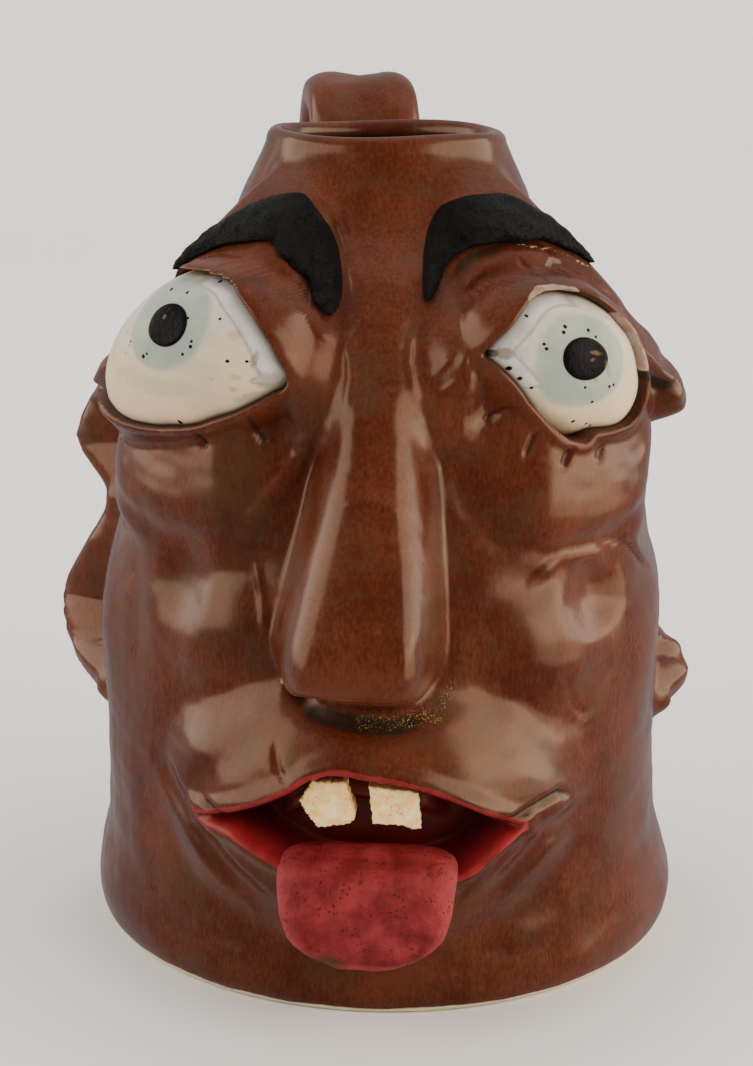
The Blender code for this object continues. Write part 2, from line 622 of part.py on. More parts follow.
def build():
    for item in list(bpy.data.objects):
        bpy.data.objects.remove(item)

    glaze = material("brown glaze", (0.175, 0.052, 0.030), 0.22)
    white = material("white eye glaze", (0.62, 0.60, 0.50), 0.25)
    black = material("black brow clay", (0.012, 0.013, 0.014), 0.45)
    red = material("red tongue clay", (0.36, 0.022, 0.035), 0.55)
    ivory = material("ivory tooth clay", (0.78, 0.72, 0.54), 0.5)

    body = vessel("jug_body", 116, COLUMNS, 5000)
    boolean(body, handle(), "UNION")

    boolean(body, lid_opening("opening for left eye", LEFT_EYE, LEFT_OPENING), "DIFFERENCE")
    boolean(body, lid_opening("opening for right eye", RIGHT_EYE, RIGHT_OPENING), "DIFFERENCE")
    pieces = (
        (eyeball("eyeball_left", LEFT_EYE), white),
        (eyeball("eyeball_right", RIGHT_EYE), white),
        (brow("eyebrow_left", LEFT_BROW, LEFT_BROW_WIDTHS), black),
        (brow("eyebrow_right", RIGHT_BROW, RIGHT_BROW_WIDTHS), black),
        (tongue("tongue"), red),
        (tooth("tooth_left", LEFT_TOOTH), ivory),
        (tooth("tooth_right", RIGHT_TOOTH), ivory),
    )
    for piece, finish in pieces:
        piece.data.materials.append(finish)
        piece.data.shade_smooth()
        piece.data.set_sharp_from_angle(angle=math.radians(50))
        boolean(body, socket(piece), "DIFFERENCE")
    settle(body)
    body.data.materials.clear()
    body.data.materials.append(glaze)
    body.data.shade_smooth()
    body.data.set_sharp_from_angle(angle=math.radians(50))


build()
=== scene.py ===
# %% [markdown]
# # A face jug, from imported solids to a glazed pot
# The plain solids say where everything is and how big it is. This lesson lays a finer skin over them: the
# same forms worked out on a much closer grid, with the wrinkles, cracks and slips of the hand, and then the
# glazes. Face at -Y, top at +Z, metres throughout. Left and right are the viewer's.

# %% Load the frame
import math

import bpy
import numpy as np
from mathutils import Matrix, Vector


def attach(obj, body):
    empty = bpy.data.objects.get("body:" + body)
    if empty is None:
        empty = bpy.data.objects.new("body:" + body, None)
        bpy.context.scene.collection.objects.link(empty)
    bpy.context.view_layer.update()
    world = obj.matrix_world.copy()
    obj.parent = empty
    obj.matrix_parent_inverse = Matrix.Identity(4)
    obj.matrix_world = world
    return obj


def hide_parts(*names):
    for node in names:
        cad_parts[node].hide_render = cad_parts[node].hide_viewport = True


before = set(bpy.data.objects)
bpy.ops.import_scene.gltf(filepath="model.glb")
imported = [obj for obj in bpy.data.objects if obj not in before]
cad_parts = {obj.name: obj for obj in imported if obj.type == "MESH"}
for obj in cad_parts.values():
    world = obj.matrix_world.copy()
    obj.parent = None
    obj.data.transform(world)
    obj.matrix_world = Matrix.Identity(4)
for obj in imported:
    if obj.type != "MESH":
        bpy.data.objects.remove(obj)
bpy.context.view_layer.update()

# %% [markdown]
# ## The camera
# The photograph looks a little down on the jug from about half a metre, so the foot spreads and the nose
# comes forward. A camera could be aimed with a tracking constraint; a matrix says the same in three steps
# that can be checked: where it is, its tilt down, its small roll. The lens is the focal length in pixels
# turned into millimetres for a sensor as tall as the picture.

# %% Camera
PICTURE_HEIGHT = 1066
FOCAL_PIXELS = 2118
camera_data = bpy.data.cameras.new("camera")
camera_data.sensor_width = 36
camera_data.lens = FOCAL_PIXELS / PICTURE_HEIGHT * camera_data.sensor_width
camera = bpy.data.objects.new("camera", camera_data)
bpy.context.scene.collection.objects.link(camera)
place = Matrix.Translation((-0.0029, -0.4991, 0.2284))
tilt = Matrix.Rotation(math.radians(90 - 15.24), 4, "X")
roll = Matrix.Rotation(math.radians(0.59), 4, "Z")
camera.matrix_world = place @ tilt @ roll
bpy.context.scene.camera = camera
print("lens", round(camera_data.lens, 1), "mm")

# %% [markdown]
# ## Smooth functions
# Clay has no hard steps, so every form here is built from a few soft functions. They work on whole numpy
# arrays: one call shapes a hundred thousand points.

# %% Soft steps and joins
def smooth_step(x, low, high):
    """3t^2 - 2t^3 with t = (x - low) / (high - low) kept in 0..1."""
    t = np.clip((x - low) / (high - low), 0.0, 1.0)
    return t * t * (3.0 - 2.0 * t)


def smooth_max(a, b, blend):
    """b + (a - b)t + blend t(1 - t), with t = 0.5 + (a - b) / 2 blend: the larger, rounded at the join."""
    t = np.clip(0.5 + 0.5 * (a - b) / blend, 0.0, 1.0)
    return b + (a - b) * t + blend * t * (1.0 - t)


def add_form(clay, form, blend):
    """smooth_max of clay and a form sunk by blend where it is absent, so that it changes nothing there."""
    return smooth_max(clay, form - blend * (1 - smooth_step(form, 0, 2 * blend)), blend)


def hill(distance, width):
    """(1 - (d / width)^2)^2 inside width, 0 outside."""
    t = np.clip(1.0 - (distance / width) ** 2, 0.0, 1.0)
    return t * t


def spot(u, z, u0, z0, half_u, half_z):
    """A hill over the distance from (u0, z0), measured in shares of half_u and half_z."""
    return hill(np.hypot((u - u0) / half_u, (z - z0) / half_z), 1.0)


# %% [markdown]
# ## Curves and lines
# A profile is a smooth curve through a few knots. A wrinkle is a bent line on the wall, and what matters is
# how far each point is from it. A hand's unevenness is a sum of slow waves in random directions.

# %% A curve through knots, and a bent line on the wall
DRAWN = 0.001    # forms are drawn in millimetres
DEGREE = 1.15    # drawn millimetres of wall for each degree of turn


def curve_through(x, knots):
    """Monotone cubic: Hermite curves with harmonic-mean tangents, so it never overshoots its knots."""
    kx, ky = np.array(knots, float).T
    step = np.diff(kx)
    slope = np.diff(ky) / step
    before, after = slope[:-1], slope[1:]
    same = before * after > 0
    weight1 = 2 * step[1:] + step[:-1]
    weight2 = step[1:] + 2 * step[:-1]
    parts = weight1 / np.where(same, before, 1) + weight2 / np.where(same, after, 1)
    tangent = np.append(slope[0], np.append(after, slope[-1]))
    tangent[1:-1] = np.where(same, (weight1 + weight2) / np.where(same, parts, 1), 0)
    x = np.clip(x, kx[0], kx[-1])
    i = np.clip(np.searchsorted(kx, x) - 1, 0, len(step) - 1)
    h, t = step[i], (x - kx[i]) / step[i]
    ends = ky[i] * (2 * t**3 - 3 * t**2 + 1) + ky[i + 1] * (3 * t**2 - 2 * t**3)
    return ends + h * (tangent[i] * (t**3 - 2 * t**2 + t) + tangent[i + 1] * (t**3 - t**2))


def near_line(u, z, points):
    """Distance in drawn mm from (u, z) to the nearest of the line's segments, and that place's share."""
    pts = np.array(points, float) * (DEGREE, 1.0)
    lengths = np.hypot(*np.diff(pts, axis=0).T)
    a = u * DEGREE + 0 * z
    best = np.full(a.shape, 1e9)
    share = np.zeros(a.shape)
    before = 0.0
    for (x0, y0), (x1, y1), length in zip(pts[:-1], pts[1:], lengths):
        t = np.clip(((a - x0) * (x1 - x0) + (z - y0) * (y1 - y0)) / length**2, 0, 1)
        d = np.hypot(a - x0 - t * (x1 - x0), z - y0 - t * (y1 - y0))
        share = np.where(d < best, (before + t * length) / lengths.sum(), share)
        best = np.minimum(d, best)
        before += length
    return best, share


def unevenness(points, size, seed, waves=14):
    """Sum of sines along random directions, about -1 to 1, with lumps of the given size in metres."""
    dice = np.random.default_rng(seed)
    directions = dice.normal(size=(waves, 3))
    directions /= np.linalg.norm(directions, axis=1)[:, None]
    pace = 2 * math.pi / size * dice.uniform(0.6, 1.5, waves)
    phase = dice.uniform(0, 2 * math.pi, waves)
    return np.sin((points @ directions.T) * pace + phase).sum(-1) / math.sqrt(waves)


# %% [markdown]
# ## The jug's wall
# The pot under the face is turned: wide at the foot, straight over the belly, drawn in to the neck. It
# could be a lathed curve, but then the face couldn't be added point by point. A monotone cubic through a
# few knots gives the same profile as a function, without bulges nobody asked for. The neck leans a little
# to the left, as a hand-built one does.

# %% Wall profile
FOOT_RADIUS = 0.0695
FOOT_BULGE = 0.0021
BELLY_RADIUS = 0.0660
NECK_RADIUS = 0.0280
NECK_LEAN = 0.0016
MOUTH_RADIUS = 0.0230
WALL = 0.0050
FLOOR = 0.0070
RIM_HEIGHT = 190.0
RIM_START = 187.0


def wall_radius(z):
    """Outer radius in metres of the plain wall at a drawn height."""
    def between(share):
        return NECK_RADIUS + share * (BELLY_RADIUS - NECK_RADIUS)

    swell = FOOT_RADIUS + FOOT_BULGE
    return curve_through(z, [
        (0, FOOT_RADIUS), (2.5, FOOT_RADIUS + 0.75 * FOOT_BULGE), (7, swell),
        (15, BELLY_RADIUS + 0.7 * (swell - BELLY_RADIUS)), (26, BELLY_RADIUS + 0.15 * (swell - BELLY_RADIUS)),
        (42, BELLY_RADIUS), (78, BELLY_RADIUS), (95, between(0.97)), (110, between(0.89)),
        (122, between(0.78)), (135, between(0.615)), (148, between(0.44)), (160, between(0.30)),
        (172, between(0.175)), (180, between(0.082)), (187, NECK_RADIUS),
    ])


def lean(u, z):
    """-NECK_LEAN sin u, growing from nothing at 110 mm to all of it at 172 mm."""
    return -NECK_LEAN * np.sin(np.radians(u)) * smooth_step(z, 110, 172)


def on_wall(u, r, z):
    """(r sin u, -r cos u, z): u in degrees from the front, r in metres, z a drawn height."""
    turn = np.radians(u)
    return np.stack([r * np.sin(turn), -r * np.cos(turn), z * DRAWN + 0 * r], -1)


print("foot, belly and neck radius:", [round(1000 * float(wall_radius(h)), 1) for h in (0, 60, 187)], "mm")


# %% [markdown]
# ## The eyeballs' places
# Each eye is an egg of white clay sunk in the wall, drawn out towards the nose. Its own axes (across, up,
# ahead) let the lids, the iris and the specks be drawn as seen from straight in front of that eye.

# %% Eyes
class Eye:
    """An ellipsoid whose half widths differ inside and outside; the left one also leans."""

    def __init__(self, angle, height, out, half_width, corner_width, half_height, front, back, tip, slant,
                 corner_slant, corner_push):
        self.angle = angle
        turn, tip = math.radians(angle), math.radians(tip)
        level = np.array([math.sin(turn), -math.cos(turn), 0.0])
        up = np.array([0.0, 0.0, 1.0])
        self.centre = level * (wall_radius(height) + out * DRAWN) + up * height * DRAWN
        across = np.array([math.cos(turn), math.sin(turn), 0.0])
        rise = up * math.cos(tip) - level * math.sin(tip)
        ahead = level * math.cos(tip) + up * math.sin(tip)
        self.axes = np.array([across, rise, ahead])
        self.slants = np.array([slant, corner_slant])
        self.pushes = np.array([0.0, corner_push])
        self.half = np.array([half_width, half_height, front]) * DRAWN
        self.corner_width = corner_width * DRAWN
        self.back = back * DRAWN

    def widths(self, across):
        """The corner's half width on the nose's side, the plain one on the other."""
        return np.where(across * self.angle < 0, self.corner_width, self.half[0])

    def leans(self, across):
        """How much the ball rises and goes back for each step across, on the side where across lies."""
        side = np.where(across * self.angle < 0, 1, 0)
        return self.slants[side], self.pushes[side]

    def placed(self, local):
        """Points in space from places on the upright ball, leant by how far across they are."""
        slant, push = self.leans(local[..., 0])
        leant = local.copy()
        leant[..., 1] += slant * local[..., 0]
        leant[..., 2] -= push * np.abs(local[..., 0])
        return self.centre + leant @ self.axes

    def straightened(self, vectors, across):
        """Vectors along the eye's axes with the lean of that side taken out."""
        slant, push = self.leans(across)
        local = vectors @ self.axes.T
        local[..., 1] -= slant * local[..., 0]
        local[..., 2] += push * local[..., 0] * np.sign(across)
        return local

    def reach(self, u, z, extra):
        """Radius where a level ray leaves the ellipsoid grown by extra; past its outline it falls away."""
        turn = np.radians(u) + 0 * z
        side = u - self.angle + 0 * turn
        ray = self.straightened(np.stack([np.sin(turn), -np.cos(turn), 0 * turn], -1), side)
        start = np.stack([0 * turn, 0 * turn, z * DRAWN + 0 * turn], -1) - self.centre
        start = self.straightened(start, side)
        half = np.stack([self.widths(u - self.angle) + 0 * turn, self.half[1] + 0 * turn,
                         self.half[2] + 0 * turn], -1) + extra
        ray, start = ray / half, start / half
        a, b = (ray * ray).sum(-1), (ray * start).sum(-1)
        inside = b * b - a * ((start * start).sum(-1) - 1)
        reach = np.sqrt(np.abs(inside)) * np.where(inside > 0, 1.0, -3.0)
        return (reach - b) / a

    def seen(self, points):
        """Points in the eye's own across and up, in drawn millimetres."""
        local = (points - self.centre) @ self.axes.T / DRAWN
        return local[..., 0], local[..., 1]


LEFT_EYE = Eye(-43.2, 144.3, 13.2, 25.4, 26.3, 19.0, 17, 9.5, 6, 0.34, 0.08, 0.13)
RIGHT_EYE = Eye(40.5, 143.6, 9.1, 18.6, 24.8, 17.5, 16.8, 9, 4, -0.35, -0.17, 0.08)
LEFT_OPENING = [(25.9, -2.3), (25.2, 1.4), (24.1, 4.8), (22.1, 8.0), (19.4, 11.2), (16, 14.1), (12.6, 16.6),
                (9.0, 18.0), (3.5, 18.7), (-6, 18.4), (-16, 13.4), (-22.6, 6), (-25.8, -3), (-24.6, -9.5),
                (-17.6, -13.0), (-10, -15.1), (-2, -15.4), (7.8, -13.8), (13.4, -11.5), (17.8, -9.3),
                (21.4, -6.8), (23.8, -4.5)]
RIGHT_OPENING = [(-23.9, 4.5), (-22.6, 7.0), (-20.4, 9.4), (-16.8, 13.0), (-13.7, 15.1), (-10.4, 16.1),
                 (-6.9, 16.0), (-1.5, 14.2), (3.6, 10.2), (7.6, 6.6), (10.2, 2.6), (9.9, -1.6), (11.2, -6),
                 (10.4, -10.5), (7.8, -13.3), (2.5, -14.0), (-1.8, -14.1), (-4.0, -15.5), (-7.4, -14.8),
                 (-11.4, -12.0), (-14.4, -9), (-17, -5.7), (-19.3, -2.5), (-21.6, 0.6), (-23.2, 3.0)]


def rounded_outline(points, each=6):
    """Catmull-Rom curve through a closed outline: each stretch is a cubic of its four nearest points."""
    p = np.array(points, float)
    t = np.linspace(0, 1, each, endpoint=False)[:, None, None]
    a, b, c, d = np.roll(p, 1, 0), p, np.roll(p, -1, 0), np.roll(p, -2, 0)
    curve = 0.5 * (2 * b + (c - a) * t + (2 * a - 5 * b + 4 * c - d) * t**2 + (3 * b - a - 3 * c + d) * t**3)
    return curve.transpose(1, 0, 2).reshape(-1, 2)


def inside_outline(x, y, outline):
    """Signed distance to a closed outline: positive inside, by counting crossings."""
    best = np.full(x.shape, 1e9)
    inside = np.zeros(x.shape, bool)
    for (x0, y0), (x1, y1) in zip(outline, np.roll(outline, -1, 0)):
        t = np.clip(((x - x0) * (x1 - x0) + (y - y0) * (y1 - y0)) / ((x1 - x0)**2 + (y1 - y0)**2), 0, 1)
        best = np.minimum(best, np.hypot(x - x0 - t * (x1 - x0), y - y0 - t * (y1 - y0)))
        crosses = (y0 > y) != (y1 > y)
        inside ^= crosses & (x < x0 + (y - y0) * (x1 - x0) / np.where(y1 == y0, 1, y1 - y0))
    return np.where(inside, best, -best)


def lid_edge(u, z, radius, eye, opening):
    """How far the point at (u, z) is inside the opening between an eye's lids, in drawn millimetres."""
    x, y = eye.seen(on_wall(u, np.maximum(eye.reach(u, z, 0), radius), z))
    return inside_outline(x, y, rounded_outline(opening))


# %% [markdown]
# ## The face, as heights over the wall
# The face is lumps and rolls of clay pressed onto the wall. It could be sculpted by brush, or each lump
# made a piece of its own and joined. Here each is a height over the plain wall at an angle u and a height
# z, so the body stays one closed grid with no seams. The lines below are where the potter pressed and
# rolled.

# %% Lines of the face
LIP_TOP = [(-33, 45.5), (-26, 48.6), (-15.5, 55.7), (-12.3, 58.9), (-7.9, 60.7), (-2.8, 59.9), (3.3, 58.5),
           (11, 54.2), (18.3, 49), (22, 47)]
LIP_BOTTOM = [(-33, 45), (-26, 44.8), (-21.7, 42.3), (-17.7, 40), (-10, 37), (-3, 36), (5, 36),
              (11.6, 37.4), (14.9, 39.6), (18.4, 43.6), (22, 46.8)]
MOUTH_MIDDLE = -4.5
LEFT_EAR = [(-84, 126), (-91, 130), (-99, 125), (-101, 112), (-96, 100), (-98, 88), (-103, 72),
            (-99, 60), (-89, 54)]
RIGHT_EAR = [(88, 106), (94, 109), (100, 104), (101, 92), (99, 80), (100, 71), (103, 62),
             (101, 55.5), (92, 50.5)]
LEFT_EAR_HEIGHTS = [(0, 7), (0.12, 15), (0.3, 17.8), (0.47, 5.5), (0.6, 11), (0.76, 18), (0.88, 14.5), (1, 6)]
RIGHT_EAR_HEIGHTS = [(0, 0), (0.12, 1), (0.28, 2), (0.45, 1.5), (0.6, 2.5), (0.72, 4.5), (0.81, 10.5),
                     (0.9, 11), (1, 5)]
LEFT_TAIL = [(-62, 143), (-70, 139), (-78, 134)]
RIGHT_TAIL = [(50, 153), (60, 146), (67.5, 138.5), (70.5, 132.5)]


# %% [markdown]
# ## The forms themselves
# A nose or an eye mound is a profile up the face times an S-shaped fall to both sides. An ear is a ridge
# along a line. Folds are valleys along lines, and the mouth is the room between two curves.

# %% Nose, eye mounds, ridges and mouth
def nose(u, z):
    """A height profile down the face times an S-shaped fall on both sides, with rounded lower corners."""
    right = u + 3.2 + 0.6 * smooth_step(z, 128, 92)
    wider_left = 0.13 * smooth_step(z, 122, 94) + 0.08 * smooth_step(z, 98, 84)
    off = np.where(right < 0, -right * (1 - wider_left), right)
    lifted = z - 5 * smooth_step(off, 8, 15) * (1 - smooth_step(z, 84, 104))
    height = curve_through(lifted, [
        (75, 0), (75.8, 8), (77, 14.5), (79, 20.5), (82, 24.2), (86, 25.5), (91, 24.9), (98, 22.4),
        (106, 19.6), (115, 17.4), (130, 15.8), (140, 15), (150, 13), (160, 8.4), (168, 3.6),
        (176, 0.8), (184, 0),
    ])
    low, high = smooth_step(z, 134, 92), smooth_step(z, 150, 175)
    sides = 1 - smooth_step(off, 3.0 + 2.6 * low, 17.6 - 0.7 * low + 7 * high)
    return height * sides * (1 - 0.05 * (np.minimum(off, 12) / 8) ** 2)


def bridge(u, z):
    """The broad saddle of clay between the eyes, into which both eye mounds and the nose run."""
    height = curve_through(z, [
        (116, 0), (124, 4.5), (132, 10), (141, 13.2), (150, 12.2), (160, 8.6), (168, 4.8), (176, 1.5),
        (184, 0),
    ])
    saddle = height * (1 - smooth_step(np.abs(u + 1.5), 15 + 2 * smooth_step(z, 140, 155), 33))
    return saddle + 6.5 * spot(u, z, -20, 148, 11, 19) + 5.5 * spot(u, z, 15.5, 148, 9.5, 14)


def eye_mound(u, z, middle, inner, outer, taper):
    """The swelling under an eye and its pouch: a profile up the face times an S-shaped fall sideways."""
    height = curve_through(z, [
        (84, 0.5), (96, 2.2), (103, 5), (108, 7.6), (113, 9.9), (119, 11.6), (125, 13.2), (132, 15.8),
        (140, 19.8), (148, 22.4), (155, 22), (160, 20), (165, 16.6), (170, 12.6), (175, 8.6), (180, 4.4),
        (186, 0.3),
    ])
    off = (u - middle) * np.sign(middle)
    spread = np.where(off < 0, -off / inner, off / (outer * (1 - taper * smooth_step(z, 143, 166))))
    narrow = 1 - 0.16 * smooth_step(z, 160, 180)
    return height * (1 - smooth_step(spread / narrow, 0.28, 1.0))


def ridge(u, z, line, heights, top, foot):
    """Height along the line times an S-shaped fall from top to foot away from it."""
    away, share = near_line(u, z, line)
    return curve_through(share, heights) * (1 - smooth_step(away, top, foot))


def mouth_inside(u, z):
    """The smallest distance to the upper lip line, the lower one and the corners: above zero inside."""
    ends = np.minimum(u + 33, 22 - u) * DEGREE
    return np.minimum(np.minimum(curve_through(u, LIP_TOP) - z, z - curve_through(u, LIP_BOTTOM)), ends)


def creases(u, z):
    """The deep folds: under the pouches, from nose to mouth corner, and a dimple in each cheek."""
    folds = (
        (0.9, 4.5, [(-66, 113), (-57, 107), (-45, 104), (-31, 106.5), (-22, 116)]),
        (1.0, 4.5, [(14, 118), (21, 108.5), (32, 104.5), (47, 106.5), (60, 113)]),
        (2.2, 5.5, [(-46, 52), (-35, 42), (-27, 32), (-19, 25.5)]),
        (1.6, 5.0, [(40, 44), (28, 42), (22, 35), (17, 28)]),
        (0.7, 5.0, [(37, 52), (27, 60), (17, 69)]),
        (0.7, 5.0, [(-36, 48), (-28, 58.5), (-19, 69)]),
    )
    depth = 0
    for deep, wide, line in folds:
        away, share = near_line(u, z, line)
        depth = depth + deep * hill(away, wide) * np.clip(4 * share * (1 - share) + 0.25, 0, 1)
    depth = depth + 3.2 * spot(u, z, 41, 92, 11, 11) + 2.4 * spot(u, z, -42, 94, 9, 17)
    depth = depth + 3.2 * spot(u, z, 64, 112, 15, 15) + 2.6 * spot(u, z, -59, 159, 13, 9)
    return depth + 3.6 * spot(u, z, 82, 101, 27, 17) - 3.6 * spot(u, z, 71, 134, 12, 9)


# %% [markdown]
# ## What the hand left behind
# The photograph shows more than the main forms: scratchy wrinkles on the upper lids and the bridge, nicks
# under the lower lids, drying cracks at the corners of the mouth. Each is a short line with a width and a
# height, so they can be listed like a table and cut or raised by one loop.

# %% Small marks, each with a height, a width and a line
MARKS = (
    (-0.9, 1.5, [(-31, 163.3), (-27, 161.8), (-24.2, 159.1), (-23, 157.8)]),
    (-0.7, 1.3, [(-22.8, 158.6), (-21.2, 155.6), (-20.2, 154.1)]),
    (-0.7, 1.2, [(-20.2, 159.4), (-19.4, 156.0)]),
    (0.8, 1.7, [(-30, 167.0), (-27.5, 165.3), (-21.5, 159.6), (-17.0, 153.8), (-11.2, 148.8)]),
    (0.8, 1.5, [(-31, 178.8), (-24, 175.6), (-18.6, 172.2), (-12.6, 166.3), (-8.9, 158.8)]),
    (0.6, 1.2, [(-18.5, 174.5), (-13.5, 170.0), (-10.4, 165.0), (-7.5, 159.8)]),
    (-0.9, 1.2, [(-61.2, 125.9), (-60.0, 123.6)]),
    (-1.2, 1.4, [(-35.5, 130.6), (-35.2, 126.2)]),
    (-1.1, 1.3, [(-25.5, 135.3), (-26.2, 130.6), (-24.5, 127.4)]),
    (-0.8, 1.2, [(-47.8, 127.2), (-47.2, 124.8)]),
    (0.8, 1.4, [(22, 160.1), (23.5, 158.8), (22.2, 156.8), (20.2, 154.6)]),
    (-0.9, 1.3, [(31, 165.8), (32.8, 163.3), (30.8, 161.0)]),
    (0.8, 1.4, [(15.8, 156.8), (18.5, 160.5), (22.8, 164.3), (27.0, 165.5)]),
    (0.9, 1.5, [(13.4, 145.6), (14.5, 149.0), (16.6, 151.4), (19.6, 152.8)]),
    (0.7, 1.3, [(23.8, 158.3), (28.2, 161.8)]),
    (-0.7, 1.3, [(19.2, 158.2), (21.0, 161.4), (25.2, 162.6)]),
    (-0.9, 1.4, [(36.6, 162.0), (41, 164.3), (45.5, 163.6)]),
    (0.7, 1.4, [(36.0, 160.6), (42.5, 160.6), (48.5, 156.6), (52.5, 150.5)]),
    (-1.0, 1.4, [(18.8, 133.0), (23.0, 137.6)]),
    (-1.1, 1.4, [(25.4, 125.8), (27.5, 131.4)]),
    (-1.1, 1.3, [(32.0, 123.6), (34.2, 127.4)]),
    (-0.9, 1.2, [(40.0, 123.6), (41.4, 126.6)]),
    (-0.6, 1.2, [(12.0, 139.0), (13.8, 141.6)]),
    (-1.2, 2.0, [(14.8, 160.5), (22.2, 166.3), (30.8, 169.0), (40.8, 168.3), (46.8, 164.5)]),
    (-1.8, 2.2, [(46.8, 142.0), (56, 139.6), (66.5, 134.6)]),
    (-3.6, 2.2, [(-17.2, 75.9), (-15.2, 75.0), (-13.0, 76.4), (-11.6, 78.4), (-9.6, 78.8)]),
    (-1.6, 3.2, [(-16.0, 73.0), (-10.0, 71.2), (-4.0, 70.2), (1.0, 69.8), (7.0, 72.0)]),
    (1.1, 3.4, [(-15.5, 132), (-18.5, 124), (-22, 117.5), (-27.5, 108.5)]),
    (0.5, 1.2, [(-25.5, 102), (-23.6, 95), (-22.6, 88)]),
    (-0.5, 1.2, [(2.4, 116.5), (5.0, 112.5)]),
    (-0.5, 1.2, [(3.0, 110.5), (5.4, 106.5)]),
    (-0.45, 1.2, [(2.6, 104), (5.0, 99.5)]),
    (0.45, 1.4, [(-7.5, 118.5), (-3.5, 120.2), (1.5, 117.6)]),
    (0.9, 2.0, [(27, 98.5), (33, 103), (41, 102.5), (46, 98)]),
    (-0.9, 1.3, [(42, 106.5), (52, 102), (60, 96), (66, 92.5)]),
    (0.8, 1.6, [(31, 163.4), (40, 161.6), (47, 156.4), (51.5, 149)]),
    (0.5, 1.2, [(-9.5, 150), (-8, 143), (-8.6, 137)]),
    (0.5, 1.2, [(4.5, 152), (3.4, 146), (4.6, 139)]),
    (-0.5, 1.1, [(-4.5, 147), (-3.6, 141), (-4.6, 134)]),
    (0.45, 1.1, [(8.5, 143.5), (11.5, 147.5)]),
    (0.45, 1.1, [(9.5, 139.5), (12.5, 142.5)]),
    (-0.7, 1.1, [(-18.5, 65.2), (-17.2, 60.2), (-15.2, 57.5)]),
    (-1.4, 1.4, [(-31.2, 49.4), (-28.5, 48.2), (-25.2, 47.2)]),
    (-1.3, 1.5, [(17.0, 49.8), (19.6, 48.6), (24.2, 50.0), (30.4, 51.2), (34.0, 49.0)]),
    (-0.5, 1.1, [(11.5, 30.8), (15.2, 37.3), (20.5, 43.0)]),
    (-0.6, 1.1, [(32.5, 76.5), (36.5, 68.5), (39.5, 65.5)]),
    (-0.5, 1.1, [(7.4, 17.3), (14.5, 9.1)]),
)


# Slips of other clays: how far each spreads from its line, in drawn mm
SLIPS = {
    "chip": (
        (0.6, [(34, 168.4), (45, 166.8), (52, 162.6)]),
        (1.1, [(-19.6, 77.8), (-17.8, 76.8)]),
        (1.0, [(-9.4, 77.6), (-8.0, 78.2)]),
    ),
    "crumb": (
        (2.4, [(-4.0, 70.8), (2.0, 70.8), (8.0, 72.4)]),
        (1.2, [(9.0, 74.0), (11.5, 77.5)]),
        (1.3, [(58.0, 124.6), (66.0, 127.4)]),
    ),
    "smear": (
        (1.6, [(43.5, 154.6), (47.5, 150.6), (49.4, 146.4), (49.2, 143.2)]),
        (1.2, [(26.4, 159.4), (29.2, 161.0), (32.7, 161.2), (36.2, 160.4)]),
    ),
}


def slips(u, z):
    """For each kind of slip, 1 on its lines and 0 beyond its spread."""
    masks = {}
    for kind, strokes in SLIPS.items():
        masks[kind] = 0 * u
        for spread, line in strokes:
            masks[kind] = np.maximum(masks[kind], hill(near_line(u, z, line)[0], spread))
    return masks


def small_marks(u, z):
    """Sum of each mark's height times a hill across its line, thinning to its ends; and how deep cuts go."""
    height, cut = 0 * u, 0 * u
    for tall, wide, line in MARKS:
        corners = np.array(line)
        low, high = corners.min(0) - (3, 3), corners.max(0) + (3, 3)
        near = (u > low[0]) & (u < high[0]) & (z > low[1]) & (z < high[1])
        away, share = near_line(u[near], z[near], line)
        form = tall * hill(away, wide) * np.clip(5 * share * (1 - share) + 0.3, 0, 1)
        height[near] += form
        cut[near] = np.maximum(cut[near], -form)
    return height, cut


# %% [markdown]
# ## Putting the clay together
# The order matters, as it does on the wheel: first the swellings of the wall, then the forms pressed on,
# then the creases, then the lids over the eyeballs, and last the mouth pushed in. An open eye is a lid skin
# that drops from above the ball to below it across about a millimetre and a half, so its edge comes out
# rounded.

# %% All the forms together
LID_THICKNESS = 0.0018
BED_DEPTH = 0.0020


def lids(u, z, clay, eye, opening):
    """Lid skin over the ball, dropping to a bed under it inside the opening, with a swollen rim."""
    zone = (np.abs(u - eye.angle) < 42) & (z > 112) & (z < 178)
    a, b = u[zone], z[zone]
    base = wall_radius(b) + lean(a, b)
    skin = (eye.reach(a, b, LID_THICKNESS) - base) / DRAWN
    bed = (eye.reach(a, b, -BED_DEPTH) - base) / DRAWN
    edge = lid_edge(a, b, base + clay[zone] * DRAWN, eye, opening)
    covered = smooth_max(clay[zone], skin, 2.4) + 0.7 * hill(edge + 1.7, 2.2)
    clay[zone] = covered + (bed - covered) * smooth_step(edge, -0.8, 0.9)
    distance = np.full(clay.shape, -30.0)
    distance[zone] = edge
    return clay, distance


